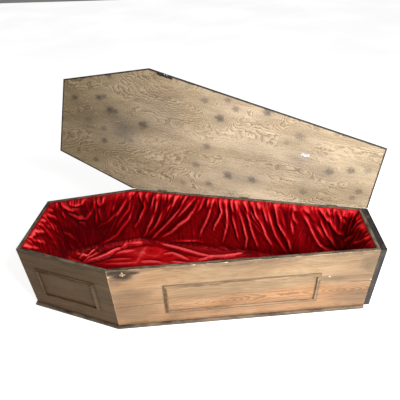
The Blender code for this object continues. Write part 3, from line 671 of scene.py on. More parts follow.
def cloth_finish():
    """Deep red pressed velvet with a satin shine; its colour carries painted highlights on the crests
    of its folds and painted shade in their hollows.
    """
    look = bpy.context.scene.coffin_cloth
    material, w, shader, where = new_finish("lining_velvet")
    pile = w.group("cloth pile", Vector=where, Scale=1.0)
    crest_node = w.node("ShaderNodeAttribute")
    crest_node.attribute_name = "crest"
    flow_node = w.node("ShaderNodeAttribute")
    flow_node.attribute_name = "flow"
    flow = flow_node.outputs["Vector"]
    pleats = w.noise(w.placed(flow, size=(58.0, 6.0, 3.0)), 1.0, 4.0, 0.6, 0.7)
    streaks = w.noise(w.placed(flow, move=(4.0, 2.0, 0.0), size=(38.0, 2.2, 2.0)), 1.0, 3.0, 0.55)
    floor_share = w.split(flow)[2]
    # Painted shadow: the lower head end of the lining is darkened.
    shaded = w.group("mark", Vector=where, Place=(-0.70, 0.16, 0.18),
                     Half_Size=(0.15, 0.14, 0.14), Ragged=0.25)
    # Painted highlight and shade: the crest share lifts the colour on the fold crests and darkens the
    # hollows; the floor is painted lighter, as if lit from above, and the foot end is darker.
    tone = w.math("MULTIPLY_ADD", crest_node.outputs["Fac"], 0.48, 0.42)
    tone = w.plus(tone, w.times(floor_share, 0.27))
    tone = w.minus(tone, w.span(w.split(where)[0], 0.70, 0.88, 0.0, 0.14))
    tone = w.minus(tone, w.times(shaded["Hill"], 0.40))
    # Painted light: a brighter patch along the front ridge of the floor.
    lit = w.group("mark", Vector=where, Place=(-0.56, 0.20, 0.05),
                  Half_Size=(0.16, 0.09, 0.05), Ragged=0.25)
    tone = w.plus(tone, w.times(lit["Hill"], 0.15))
    tone = w.plus(tone, w.math("MULTIPLY_ADD", streaks, 0.50, -0.25))
    # The pleats also paint crease shading into the colour.
    tone = w.plus(tone, w.math("MULTIPLY_ADD", pleats, 0.26, -0.13))
    tone = w.plus(tone, w.math("MULTIPLY_ADD", pile["Brushed"], 0.44, -0.22))
    body = w.mix(w.span(tone, 0.12, 0.42), look.dark_red, look.deep_red)
    body = w.mix(w.span(tone, 0.45, 0.74), body, look.clear_red)
    body = w.mix(w.span(tone, 0.72, 1.00), body, look.pink_red)
    body = w.over(body, w.span(pile["Pile"], 0.45, 0.75), 0.22, look.dark_red)
    w.put(shader["Base Color"], body)
    w.put(shader["Roughness"], w.span(tone, 0.3, 0.9, look.rough_high, look.rough_low, False))
    shader["Specular IOR Level"].default_value = 0.80
    shader["Specular Tint"].default_value = look.shine_red
    shader["Sheen Weight"].default_value = 0.08
    shader["Sheen Roughness"].default_value = 0.35
    shader["Sheen Tint"].default_value = look.sheen_red
    height = w.plus(w.times(pleats, 0.8), w.times(pile["Pile"], 0.03))
    height = w.plus(height, w.times(pile["Creases"], 0.5))
    w.put(shader["Normal"], w.bump(height, 0.34, 0.014))
    return material


# Lining

RIM_EDGE = RIM - 0.0012
CLOTH_FLOOR = WALL_FOOT + 0.014
FOOT_CURVE = 0.050
CLOTH_SLOPE = 0.024
SHOULDER_COLUMNS = 110
SIDE_COLUMNS = 290
END_COLUMNS = 80
WALL_ROWS = 62
WALL_COLUMNS = (END_COLUMNS, SHOULDER_COLUMNS, SIDE_COLUMNS,
                END_COLUMNS, SIDE_COLUMNS, SHOULDER_COLUMNS)

# Bunches of folds: from and to along the rim, the tacked place and its height, folds, depth and lean
FAR_BUNCHES = (
    (0.285, 0.475, 0.250, 0.205, 6, 0.020, 1.2),
    (0.475, 0.640, 0.245, 0.050, 4, 0.030, 0.8),
    (0.600, 0.900, 0.552, 0.052, 9, 0.022, 1.3),
    (0.880, 1.180, 1.225, 0.050, 9, 0.024, 1.6),
    (1.150, 1.490, 1.500, 0.065, 10, 0.024, 1.3),
    (1.480, 1.820, 1.785, 0.130, 11, 0.022, 1.1),
)
NEAR_BUNCHES = (
    (0.030, 0.300, 0.190, 0.060, 8, 0.022, 1.2),
    (0.290, 0.510, 0.420, 0.055, 7, 0.022, 1.2),
    (0.520, 0.800, 0.640, 0.055, 9, 0.022, 1.3),
    (0.790, 1.100, 0.980, 0.055, 9, 0.022, 1.2),
    (1.090, 1.400, 1.270, 0.055, 9, 0.022, 1.3),
    (1.390, 1.680, 1.510, 0.060, 8, 0.022, 1.2),
    (1.660, 1.850, 1.760, 0.080, 6, 0.020, 1.2),
)
HEAD_BUNCHES = (
    (-0.190, 0.000, -0.080, 0.100, 7, 0.018, 1.2),
    (-0.010, 0.190, 0.100, 0.130, 7, 0.018, 1.2),
)
FOOT_BUNCHES = (
    (-0.140, 0.010, -0.050, 0.110, 6, 0.018, 1.2),
    (0.000, 0.140, 0.070, 0.140, 6, 0.018, 1.2),
)


def cloudy(points, scale, seed):
    """Smooth noise from -1 to 1 at each point, the same in every run."""
    shift = Vector((seed * 3.17, seed * 1.91, seed * 0.73))
    values = np.empty(len(points))
    for number, point in enumerate(points):
        values[number] = noise.noise(Vector(point) * scale + shift)
    return values


def rim_loop(extra):
    """Points round the inner faces of the boards, in plan, one for each column of the cloth."""
    corners = [np.array(corner) for corner in inner_outline(extra)]
    points = []
    for wall in range(6):
        start = corners[wall]
        end = corners[(wall + 1) % 6]
        for step in range(WALL_COLUMNS[wall]):
            points.append(start + (end - start) * step / WALL_COLUMNS[wall])
    return np.array(points)


def wall_frames(extra):
    """Start and inward direction of each wall's inner face."""
    corners = [np.array(corner) for corner in inner_outline(extra)]
    frames = []
    for wall in range(6):
        along = corners[(wall + 1) % 6] - corners[wall]
        along = along / np.linalg.norm(along)
        frames.append((corners[wall], np.array((-along[1], along[0]))))
    return frames


def cloth_grid():
    """The cloth before it is gathered: its points, its faces and how many points lie on the walls."""
    columns = sum(WALL_COLUMNS)
    straight = RIM_EDGE - CLOTH_FLOOR - FOOT_CURVE
    arc = FOOT_CURVE * math.pi / 4.0
    points = []
    for row in range(WALL_ROWS + 1):
        down = (straight + arc) * row / WALL_ROWS
        if down <= straight:
            inset = 0.002 + 0.006 * min(1.0, down / 0.03) + CLOTH_SLOPE * down / straight
            height = RIM_EDGE - down
        else:
            turn = (down - straight) / FOOT_CURVE
            inset = 0.008 + CLOTH_SLOPE + FOOT_CURVE * (1.0 - math.cos(turn))
            height = CLOTH_FLOOR + FOOT_CURVE * (1.0 - math.sin(turn))
        loop = rim_loop(inset)
        points.extend((x, y, height) for x, y in loop)
    ring = len(points)
    index = {}
    last = WALL_ROWS * columns
    long_way = SHOULDER_COLUMNS + SIDE_COLUMNS
    near = [last + END_COLUMNS + step for step in range(long_way + 1)]
    far = [last + (columns - step) % columns for step in range(long_way + 1)]
    for i in range(long_way + 1):
        for j in range(END_COLUMNS + 1):
            if i == 0:
                index[i, j] = last + END_COLUMNS - j
            elif i == long_way:
                index[i, j] = near[-1] + j
            elif j == 0:
                index[i, j] = near[i]
            elif j == END_COLUMNS:
                index[i, j] = far[i]
            else:
                index[i, j] = len(points)
                share = j / END_COLUMNS
                start = points[near[i]]
                end = points[far[i]]
                points.append(tuple(a + (b - a) * share for a, b in zip(start, end)))
    faces = []
    for row in range(WALL_ROWS):
        for column in range(columns):
            after = (column + 1) % columns
            faces.append((row * columns + column, row * columns + after,
                          (row + 1) * columns + after, (row + 1) * columns + column))
    for i in range(long_way):
        for j in range(END_COLUMNS):
            faces.append((index[i, j], index[i + 1, j], index[i + 1, j + 1], index[i, j + 1]))
    return np.array(points), faces, ring


# How much of the bunches, of the gathers at the rim and of the billow each wall has
WALL_SHARES = {
    HEAD_FAR: (1.00, 1.0, 1.0), HEAD_NEAR: (0.40, 0.3, 0.5), SHOULDER_NEAR: (0.40, 0.3, 0.5),
    FOOT_NEAR: (0.60, 1.0, 1.0), FOOT_FAR: (0.45, 1.0, 1.0), SHOULDER_FAR: (0.45, 1.0, 1.0),
}


def bunch_source(along, down, bunch):
    """How far each place is down its bunch and past its tack, and where its fold left the rim."""
    rim_from, rim_to, tack, tack_height = bunch[:4]
    lean = bunch[6]
    tack_down = RIM_EDGE - tack_height
    share = np.clip(down / tack_down, 0.0, 1.0)
    past = np.clip((down - tack_down) / 0.16, 0.0, 1.0)
    pull = 0.90 * share ** lean * (1.0 - 0.55 * past)
    source = (along - tack * pull) / (1.0 - pull)
    return share, past, source, (source - rim_from) / (rim_to - rim_from)


def wall_bunches(wall):
    """The bunches of one wall."""
    if wall in (HEAD_FAR, FOOT_NEAR):
        return HEAD_BUNCHES if wall == HEAD_FAR else FOOT_BUNCHES
    return NEAR_BUNCHES if wall in (HEAD_NEAR, SHOULDER_NEAR) else FAR_BUNCHES


def flow_lines(wall, along, down):
    """For each place the spot on the rim that its crease comes from."""
    flow = np.array(along)
    best = np.full(len(along), 0.1)
    for bunch in wall_bunches(wall):
        past, source, place = bunch_source(along, down, bunch)[1:]
        inside = 1.0 - np.abs(place - 0.5)
        better = (inside > best) & (past < 0.9)
        flow = np.where(better, source, flow)
        best = np.where(better, inside, best)
    return flow


def bunch_relief(along, down, bunch, seed):
    """Height of one bunch of folds that run from a stretch of rim to one tacked place."""
    count, depth = bunch[4], bunch[5]
    share, past, source, place = bunch_source(along, down, bunch)
    inside = np.clip(place / 0.06, 0.0, 1.0) * np.clip((1.0 - place) / 0.06, 0.0, 1.0)
    wander = 0.30 * np.sin(place * 9.1 + seed * 1.7 + share * 1.5)
    wander = wander + 0.16 * np.sin(place * 23.0 + seed * 2.9)
    phase = place * count + wander
    number = np.floor(phase)
    part = phase - number
    size = 0.55 + 0.45 * np.sin(number * 12.9898 + seed * 4.1)
    skew = 0.5 + 0.16 * np.sin(number * 7.7 + seed)
    rise = np.where(part < skew, part / skew, (1.0 - part) / (1.0 - skew))
    wave = np.sin(rise * math.pi / 2.0) ** 1.5
    swell = (0.35 + 0.65 * np.sin(np.clip(share * 1.25 + 0.12, 0.0, 1.0) * math.pi) ** 0.7)
    swell = swell * (1.0 - 0.45 * share ** 3) * (1.0 - past) ** 1.5
    return depth * wave * size * swell * inside


def wall_relief(wall, along, down):
    """Relief of the cloth on one wall: along is the distance from the head, or across on the ends."""
    bunches = wall_bunches(wall)
    height = np.zeros(len(along))
    for number, bunch in enumerate(bunches):
        height = np.maximum(height, bunch_relief(along, down, bunch, number + 1.0))
    billow = 0.012 * np.sin(np.clip(down / 0.40, 0.0, 1.0) * math.pi) ** 0.8
    for bunch in bunches:
        reach = (along - bunch[2]) ** 2 + (down - RIM_EDGE + bunch[3]) ** 2
        billow = billow - 0.012 * np.exp(-reach / 0.0040)
    bunch_share, gather_share, billow_share = WALL_SHARES[wall]
    gathers = rim_gathers(along, down, wall + 1.0)
    return height * bunch_share + gathers * gather_share + billow * billow_share


# Folds pulled tight between two places, in millimetres. Each has its height, its half width and the
# places that it passes: from the head and above the ground on the far walls, across and above the
# ground on the two ends, from the head and across on the floor.
FAR_FOLDS = (
    (16, 11, ((80, 435), (100, 400), (135, 370), (170, 345))),
    (14, 9, ((90, 420), (130, 380), (175, 365))),
    (20, 10, ((85, 395), (120, 350), (160, 310), (205, 295), (250, 340), (275, 400))),
    (16, 9, ((140, 405), (165, 400), (200, 405), (220, 430))),
    (12, 8, ((135, 437), (130, 400))),
    (11, 7, ((70, 390), (85, 345), (90, 320))),
    (14, 8, ((290, 415), (295, 370))),
    (14, 8, ((300, 375), (320, 395), (330, 425))),
    (17, 9, ((290, 355), (295, 295), (285, 255))),
    (15, 8, ((275, 405), (270, 310), (255, 240))),
    (19, 9, ((460, 390), (415, 330), (385, 300), (315, 245), (260, 215))),
    (13, 8, ((370, 375), (335, 290), (305, 255), (262, 215))),
    (11, 7, ((385, 360), (370, 315))),
    (18, 10, ((490, 400), (470, 320), (420, 270), (385, 220), (370, 195))),
    (22, 11, ((500, 330), (460, 240), (410, 190), (370, 135), (320, 105), (275, 80), (240, 50))),
    (9, 7, ((140, 305), (185, 255), (200, 215))),
    (9, 8, ((35, 235), (85, 200), (125, 140))),
    (9, 8, ((65, 125), (95, 60))),
    (13, 8, ((550, 435), (560, 385), (560, 335))),
    (22, 12, ((600, 425), (580, 370), (580, 335), (545, 270), (520, 215), (490, 180))),
    (13, 8, ((605, 410), (600, 355))),
    (17, 9, ((670, 435), (640, 400), (625, 350), (610, 305))),
    (16, 9, ((690, 430), (670, 375), (650, 305))),
    (17, 9, ((630, 280), (615, 230), (585, 175), (565, 120), (530, 70))),
    (16, 8, ((725, 375), (695, 310), (660, 235), (610, 160), (560, 85))),
    (18, 8, ((860, 405), (785, 315), (705, 210), (635, 130), (585, 60))),
    (19, 11, ((785, 435), (765, 380), (740, 350), (725, 315))),
    (14, 8, ((850, 430), (805, 355))),
    (17, 9, ((900, 420), (870, 380), (835, 335), (795, 285))),
    (20, 12, ((925, 410), (895, 345), (850, 275), (790, 220), (740, 160), (675, 110))),
    (15, 9, ((960, 425), (940, 370), (920, 330))),
    (13, 8, ((990, 430), (975, 365))),
    (19, 9, ((1010, 395), (990, 315), (970, 260), (940, 190), (930, 145))),
    (12, 8, ((1020, 435), (1010, 385))),
    (19, 9, ((1050, 420), (1070, 355), (1050, 295), (1030, 255), (1015, 200))),
    (17, 9, ((1100, 420), (1105, 320), (1105, 260), (1090, 175), (1075, 110))),
    (17, 9, ((1120, 425), (1135, 385), (1150, 345))),
    (12, 8, ((1130, 320), (1150, 270), (1165, 210), (1175, 135))),
    (22, 10, ((1155, 425), (1175, 375), (1195, 315), (1215, 240), (1230, 175), (1225, 100),
        (1220, 55))),
    (20, 9, ((1200, 437), (1220, 395), (1235, 335), (1245, 285), (1265, 215), (1285, 160),
        (1300, 110))),
    (12, 8, ((1250, 360), (1275, 310))),
    (15, 8, ((1260, 415), (1275, 350), (1290, 315))),
    (14, 8, ((1285, 435), (1305, 390))),
    (16, 9, ((1295, 350), (1320, 290), (1345, 215), (1375, 160), (1395, 115))),
    (15, 8, ((1310, 420), (1330, 365), (1350, 295))),
    (21, 9, ((1340, 410), (1360, 350), (1380, 285), (1405, 220), (1435, 165), (1465, 110),
        (1490, 70))),
    (21, 10, ((1380, 435), (1400, 355), (1410, 305), (1450, 240), (1480, 180), (1505, 95))),
    (14, 9, ((1420, 395), (1435, 340), (1455, 280))),
    (14, 9, ((1475, 365), (1495, 290), (1505, 240))),
    (17, 9, ((1485, 400), (1500, 350), (1520, 320))),
    (13, 8, ((1485, 435), (1505, 400))),
    (10, 30, ((1535, 275), (1555, 180), (1560, 80))),
    (14, 8, ((1545, 435), (1580, 395))),
    (18, 9, ((1530, 415), (1575, 350), (1600, 300), (1630, 240), (1665, 185), (1700, 155),
        (1790, 130))),
    (15, 9, ((1615, 330), (1650, 290), (1680, 245), (1700, 225))),
    (22, 10, ((1625, 437), (1655, 405), (1705, 350), (1735, 305), (1760, 280), (1785, 275))),
    (14, 8, ((1670, 435), (1690, 415), (1710, 400))),
    (13, 8, ((1735, 420), (1760, 380), (1795, 345))),
    (14, 8, ((1760, 420), (1770, 400), (1790, 395))),
    (20, 10, ((1826, 415), (1818, 365), (1815, 320), (1818, 265))),
    (15, 8, ((1640, 395), (1660, 330), (1700, 255), (1730, 220), (1755, 175), (1785, 140))),
    (14, 8, ((1805, 250), (1812, 170))),
    (13, 8, ((1785, 230), (1805, 150))),
    (10, 7, ((1800, 437), (1812, 428))),
    (12, 8, ((720, 70), (810, 90), (905, 105), (950, 95))),
    (10, 8, ((1045, 70), (1085, 60), (1115, 45))),
)
HEAD_FOLDS = (
    (17, 10, ((95, 425), (145, 370), (188, 310))),
    (14, 9, ((140, 425), (185, 385))),
    (13, 8, ((35, 437), (65, 405))),
    (18, 10, ((-60, 430), (-20, 390), (15, 355))),
    (16, 9, ((-115, 437), (-70, 415))),
    (14, 8, ((-110, 415), (-70, 360), (-40, 320))),
    (15, 9, ((-190, 435), (-145, 385), (-100, 335))),
    (11, 8, ((30, 400), (95, 320), (170, 180))),
    (10, 8, ((85, 365), (130, 295))),
    (10, 8, ((15, 290), (45, 250), (70, 185))),
    (10, 8, ((100, 270), (140, 190), (150, 100))),
    (12, 9, ((-150, 300), (-100, 210), (-50, 140))),
    (12, 9, ((-80, 280), (-30, 180), (10, 110))),
)
FOOT_FOLDS = (
    (20, 10, ((75, 305), (120, 240), (138, 175))),
    (15, 9, ((30, 430), (50, 360), (55, 320))),
    (13, 8, ((110, 430), (90, 395))),
    (17, 10, ((-40, 365), (0, 325), (30, 285))),
    (14, 8, ((-70, 435), (-45, 380), (-20, 340))),
    (14, 8, ((70, 430), (85, 360), (120, 300))),
    (14, 9, ((0, 280), (50, 210), (110, 150))),
    (14, 9, ((-80, 290), (-30, 200), (30, 130))),
    (13, 9, ((-110, 400), (-80, 290), (-60, 160))),
)
FLOOR_FOLDS = (
    (46, 24, ((220, 215), (280, 240), (370, 268), (450, 288), (530, 300), (600, 290))),
    (30, 13, ((195, 90), (265, 125), (320, 160), (365, 205), (420, 250))),
    (26, 10, ((140, 125), (165, 150), (195, 150), (205, 185), (230, 220))),
    (26, 11, ((180, 95), (220, 145), (250, 200))),
    (12, 14, ((45, 140), (100, 110), (170, 90))),
    (14, 9, ((100, 175), (150, 155), (200, 130))),
    (26, 11, ((600, 290), (670, 272), (730, 248), (795, 225), (860, 205), (930, 180), (995, 165))),
    (12, 34, ((565, 280), (545, 190), (525, 105))),
    (14, 10, ((690, 185), (745, 195), (800, 170), (855, 140))),
    (14, 10, ((560, 112), (610, 115), (675, 110))),
    (14, 10, ((750, 120), (825, 105), (870, 105))),
    (9, 12, ((260, 85), (340, 80), (430, 85), (520, 95))),
    (9, 12, ((300, 115), (390, 120), (480, 135))),
    (12, 20, ((330, 160), (400, 190), (480, 215))),
    (20, 10, ((930, 135), (1015, 165), (1085, 165), (1155, 185), (1220, 205), (1285, 195),
        (1320, 180))),
    (10, 9, ((910, 235), (980, 235), (1055, 215))),
    (14, 10, ((1490, 185), (1540, 160), (1600, 150))),
    (16, 14, ((420, -290), (500, -180), (560, -60), (640, 20))),
    (15, 12, ((300, -240), (360, -100), (450, 0))),
    (15, 12, ((640, -270), (700, -130), (800, -30), (900, 60))),
    (16, 13, ((980, -220), (930, -90), (950, 50))),
    (15, 12, ((1080, -200), (1150, -90), (1180, 50))),
    (14, 11, ((1270, -180), (1220, -50), (1260, 80))),
    (14, 11, ((1390, -160), (1440, -30), (1480, 90))),
    (13, 10, ((1560, -130), (1600, -10), (1650, 80))),
    (13, 10, ((1720, -100), (1740, 0), (1790, 70))),
    (13, 11, ((100, -130), (180, -50), (240, 10))),
)


def path_relief(spots, folds):
    """Relief of folds pulled tight, with the shallow hollow on either side of each."""
    relief = np.zeros(len(spots))
    for tall_mm, half_width_mm, places_mm in folds:
        tall = tall_mm / 1000.0
        half_width = half_width_mm / 1000.0
        path = np.array(places_mm) / 1000.0
        reach = half_width * 5.0
        close = np.all((spots > path.min(axis=0) - reach) & (spots < path.max(axis=0) + reach), axis=1)
        chosen = np.nonzero(close)[0]
        if len(chosen) == 0:
            continue
        spot = spots[chosen]
        nearest = np.full(len(chosen), 9.0)
        where = np.zeros(len(chosen))
        side = np.zeros(len(chosen))
        lengths = np.linalg.norm(np.diff(path, axis=0), axis=1)
        passed = 0.0
        for number, length in enumerate(lengths):
            way = path[number + 1] - path[number]
            offset = spot - path[number]
            share = np.clip(offset @ way / (length * length), 0.0, 1.0)
            gap = np.linalg.norm(offset - way * share[:, None], axis=1)
            closer = gap < nearest
            nearest = np.where(closer, gap, nearest)
            where = np.where(closer, (passed + length * share) / lengths.sum(), where)
            side = np.where(closer, (way[0] * offset[:, 1] - way[1] * offset[:, 0]) / length, side)
            passed += length
        taper = np.sin(np.clip(where * 0.86 + 0.07, 0.0, 1.0) * math.pi) ** 0.7
        width = half_width * (0.78 + 0.40 * np.sin(where * math.pi))
        steep_side = 1.0 if math.sin(path[0, 0] * 97.0) > 0.0 else -1.0
        lopsided = 1.0 + 0.45 * np.tanh(side * steep_side / width)
        crest = np.exp(-(nearest / (width * lopsided)) ** 1.5)
        hollow = np.exp(-(nearest / (width * 2.6)) ** 2)
        relief[chosen] += tall * taper * (1.15 * crest - 0.26 * hollow)
    return relief


def pulled_relief(points, weights, floor_share):
    """The pulled folds of the far walls, the two ends and the floor."""
    from_head = points[:, 0] + LENGTH / 2.0
    upright = 1.0 - floor_share
    far = (weights[FOOT_FAR] + weights[SHOULDER_FAR]) * upright
    relief = far * path_relief(np.column_stack((from_head, points[:, 2])), FAR_FOLDS)
    across = np.column_stack((points[:, 1], points[:, 2]))
    relief += weights[HEAD_FAR] * upright * path_relief(across, HEAD_FOLDS)
    relief += weights[FOOT_NEAR] * upright * path_relief(across, FOOT_FOLDS)
    relief += floor_share * path_relief(np.column_stack((from_head, points[:, 1])), FLOOR_FOLDS)
    return relief


def rim_gathers(along, down, seed):
    """Small gathers where the cloth is fastened all along the rim."""
    lean = 0.25 * np.sin(along * 5.3 + seed)
    place = (along + lean * down) / 0.024
    phase = place + 0.55 * np.sin(along * 31.0 + seed) + 0.40 * np.sin(along * 71.0 + seed * 2.3)
    number = np.floor(phase)
    part = phase - number
    size = 0.5 + 0.5 * np.sin(number * 12.9898 + seed * 4.1)
    length = 0.030 + 0.065 * (0.5 + 0.5 * np.sin(number * 5.31 + seed))
    rise = 1.0 - np.abs(2.0 * part - 1.0)
    start = np.clip(down / 0.010, 0.0, 1.0)
    return 0.0085 * size * rise ** 1.4 * start * np.exp(-(down / length) ** 2)


def gathered_points(points, ring):
    """The gathered cloth: its points, the way that each was pushed, and where its creases run."""
    columns = sum(WALL_COLUMNS)
    frames = wall_frames(0.0)
    gaps = np.array([(points[:, :2] - start) @ inward for start, inward in frames])
    nearest = gaps.min(axis=0)
    straight = RIM_EDGE - CLOTH_FLOOR
    on_wall = np.arange(len(points)) < ring
    down = np.where(on_wall, RIM_EDGE - points[:, 2], straight + np.maximum(nearest - 0.045, 0.0))
    weights = np.exp(-(gaps - nearest) / 0.012)
    weights = weights / weights.sum(axis=0)
    from_head = points[:, 0] + LENGTH / 2.0
    relief = np.zeros(len(points))
    push = np.zeros((len(points), 3))
    flow = np.zeros(len(points))
    for wall in range(6):
        along = points[:, 1] if wall in (HEAD_FAR, FOOT_NEAR) else from_head
        relief = relief + weights[wall] * wall_relief(wall, along, down)
        flow = np.where(weights[wall] > 0.5, flow_lines(wall, along, down) + 3.0 * wall, flow)
        push[:, :2] += weights[wall][:, None] * frames[wall][1]
    floor_share = np.clip((down - straight + 0.035) / 0.05, 0.0, 1.0)
    flow = np.where(on_wall, flow, points[:, 1] * 0.7 + 0.08 * from_head)
    sway = np.where(on_wall, down, from_head)
    crumple_at = np.column_stack((flow * 42.0, sway * 7.0, flow * 0.0))
    crumple = 1.0 - np.abs(cloudy(crumple_at, 1.0, 5.0)) * 2.2
    crumple_at = np.column_stack((flow * 80.0, sway * 15.0, flow * 0.0))
    crumple = 0.7 * crumple + 0.3 * (1.0 - np.abs(cloudy(crumple_at, 1.0, 9.0)) * 2.2)
    to_foot = np.clip((from_head - 1.55) / 0.25, 0.0, 1.0)
    to_end = to_foot + 0.5 * np.clip((0.35 - from_head) / 0.3, 0.0, 1.0)
    relief = relief + crumple * (0.0032 + 0.0046 * to_end) * np.clip(down / 0.02, 0.0, 1.0)
    steep = np.clip(1.0 - (down - straight + 0.05) / 0.09, 0.0, 1.0)
    direction = push * steep[:, None]
    direction[:, 2] = 1.0 - steep + 0.15
    direction = direction / np.linalg.norm(direction, axis=1)[:, None]
    fade = np.where(on_wall, 1.0, np.clip(1.0 - (nearest - 0.07) / 0.10, 0.12, 1.0))
    relief = relief * fade + pulled_relief(points, weights, floor_share)
    moved = points + direction * relief[:, None]
    long_noise = cloudy(points * np.array((0.5, 1.0, 1.0)), 14.0, 2.0) * 0.006
    moved[:, 2] += (0.006 + long_noise) * floor_share
    moved[:columns] = points[:columns]
    return moved, direction, np.column_stack((flow, sway, floor_share))


def floor_curve(points, ring):
    """Lifts the outer floor so that the cloth rounds the foot of the walls."""
    gaps = []
    for start, inward in wall_frames(0.008 + CLOTH_SLOPE):
        gaps.append((points[:, :2] - start) @ inward)
    nearest = np.clip(np.min(gaps, axis=0), 0.0, FOOT_CURVE)
    rise = FOOT_CURVE - np.sqrt(FOOT_CURVE ** 2 - (FOOT_CURVE - nearest) ** 2)
    points[ring:, 2] = CLOTH_FLOOR + rise[ring:]
    return points


def soften(points, faces, fixed, rounds):
    """Evens out the smallest kinks."""
    quads = np.array(faces)
    pairs = np.concatenate([quads[:, [0, 1]], quads[:, [1, 2]], quads[:, [2, 3]], quads[:, [3, 0]]])
    pairs = np.unique(np.sort(pairs, axis=1), axis=0)
    first, second = pairs[:, 0], pairs[:, 1]
    count = len(points)
    valence = np.bincount(first, minlength=count) + np.bincount(second, minlength=count)
    moved = points.copy()
    for turn in range(rounds):
        mean = np.empty_like(moved)
        for part in range(3):
            total = np.bincount(first, moved[second, part], count)
            total = total + np.bincount(second, moved[first, part], count)
            mean[:, part] = total / valence
        moved = moved + 0.5 * (mean - moved)
        moved[fixed] = points[fixed]
    return moved


# Colours and sizes that a user may change


def tint(name, description, value):
    """A colour property."""
    return FloatVectorProperty(name=name, description=description, subtype="COLOR", size=4,
                               min=0.0, max=1.0, default=value)


class CoffinTimber(bpy.types.PropertyGroup):
    """Colours of the timber and its paints."""

    tan_pine: tint("Tan pine", "Lower plank, light places", colour(224, 180, 136))
    orange_pine: tint("Orange pine", "Lower plank, warm places", colour(208, 158, 112))
    pale_pine: tint("Pale pine", "Upper plank, light places", colour(206, 174, 134))
    grey_pine: tint("Grey pine", "Upper plank, grey places", colour(176, 146, 110))
    ring_orange: tint("Orange ring", "Late wood of the lower plank", colour(112, 64, 34))
    ring_grey: tint("Grey ring", "Late wood of the upper plank", colour(120, 92, 62))
    fibre_dark: tint("Dark fibre", "Pores and fibres", colour(122, 84, 56))
    # Grime is also laid on as painted shade, in the broad marks at the near side's ends and in the
    # strips' hollows.
    grime: tint("Grime", "Handling dirt", colour(96, 84, 68))
    stain: tint("Stain", "Black stains by the ironwork", colour(40, 34, 30))
    worn: tint("Worn edge", "Edges rubbed through the stain", colour(206, 178, 146))
    chip: tint("Chip", "Bare chipped wood", colour(238, 214, 180))
    rim_dark: tint("Dark rim", "Rim, dark places", colour(50, 42, 34))
    rim_grey: tint("Grey rim", "Rim, grey places", colour(116, 102, 84))
    strip_dark: tint("Dark strip", "Moulded strips, dark places", colour(112, 86, 62))
    strip_mid: tint("Middle strip", "Moulded strips, grey places", colour(132, 116, 92))
    strip_light: tint("Light strip", "Moulded strips, light places", colour(176, 142, 106))
    base_dark: tint("Dark base", "Base board, dark places", colour(54, 44, 34))
    base_light: tint("Light base", "Base board, light places", colour(128, 110, 88))
    black: tint("Black paint", "Foot block's paint", colour(21, 20, 20))
    black_brown: tint("Brown-black paint", "Foot block's paint, rubbed thin", colour(72, 64, 58))
    edge_paint: tint("Edge paint", "Dark paint round the lid", colour(46, 38, 32))
    ply_dark: tint("Dark ply", "Lid's inner face, dark places", colour(164, 142, 114))
    ply_light: tint("Light ply", "Lid's inner face, light places", colour(208, 186, 158))
    ply_line: tint("Ply line", "Dark grain line", colour(104, 86, 64))
    ply_cream: tint("Ply cream", "Pale grain line", colour(240, 218, 184))
    ply_grime: tint("Ply grime", "Dirt on the lid's inner face", colour(142, 128, 110))
    ply_smudge: tint("Ply smudge", "Blue-grey bruises", colour(104, 99, 98))
    knot: tint("Knot", "Knots", colour(78, 72, 70))


class CoffinCloth(bpy.types.PropertyGroup):
    """Colours and folds of the lining."""

    # Dark red to pink red carry painted light: dark red is painted shade in the hollows of the folds,
    # pink red a painted highlight on their crests.
    dark_red: tint("Dark red", "Hollows and between the tufts", colour(76, 0, 6))
    deep_red: tint("Deep red", "Pile brushed away from the light", colour(124, 3, 9))
    clear_red: tint("Clear red", "Pile brushed towards the light", colour(196, 16, 22))
    pink_red: tint("Pink red", "Crests of the folds", colour(245, 84, 86))
    sheen_red: tint("Sheen red", "Shine at a glancing view", colour(255, 84, 84))
    shine_red: tint("Shine red", "Colour of the satin shine", colour(255, 84, 84))
    rough_low: FloatProperty(name="Lowest roughness", description="Roughness of the pressed pile",
                             default=0.28, min=0.0, max=1.0)
    rough_high: FloatProperty(name="Highest roughness", description="Roughness of the raised pile",
                              default=0.42, min=0.0, max=1.0)
    softening: IntProperty(name="Softening rounds", description="Rounds that even out small kinks",
                           default=1, min=0)


class CoffinStage(bpy.types.PropertyGroup):
    """Camera, lights and floor."""

    focal_length: FloatProperty(name="Focal length", description="Camera's focal length in millimetres",
                                default=34.09, min=1.0)
    camera_place: FloatVectorProperty(name="Camera place", description="Where the camera stands",
                                      size=3, subtype="TRANSLATION", unit="LENGTH",
                                      default=(0.14671, -1.61212, 1.7645))
    camera_yaw: FloatProperty(name="Yaw", description="Turn of the camera towards the head",
                              subtype="ANGLE", default=0.08545)
    camera_pitch: FloatProperty(name="Pitch", description="How far the camera looks down",
                                subtype="ANGLE", default=0.61907)
    camera_roll: FloatProperty(name="Roll", description="Tilt of the camera about its view",
                               subtype="ANGLE", default=-0.04159)
    key_power: FloatProperty(name="Key light", description="Strength of the large soft light",
                             subtype="POWER", default=106.0)
    fill_power: FloatProperty(name="Room light", description="Strength of the light from all round",
                              default=0.19)
    floor_glow: FloatProperty(name="Floor glow", description="Light that the floor gives by itself",
                              default=0.85)
    floor_white: tint("Floor", "Pale floor", colour(250, 250, 250))


# Pieces


def dress(node_name, material):
    """Gives a CAD node its finish."""
    mesh = frame["nodes"][node_name].data
    for number in range(len(mesh.materials)):
        mesh.materials[number] = material


class COFFIN_OT_shared_effects(bpy.types.Operator):
    """Builds the shader groups that the finishes share"""

    bl_idname = "coffin.shared_effects"
    bl_label = "Shared effects"

    def execute(self, context):
        for effect in (sawn_grain_effect, peeled_grain_effect, mark_effect, grime_effect,
                       worn_edge_effect, pile_effect):
            effect()
        return {"FINISHED"}


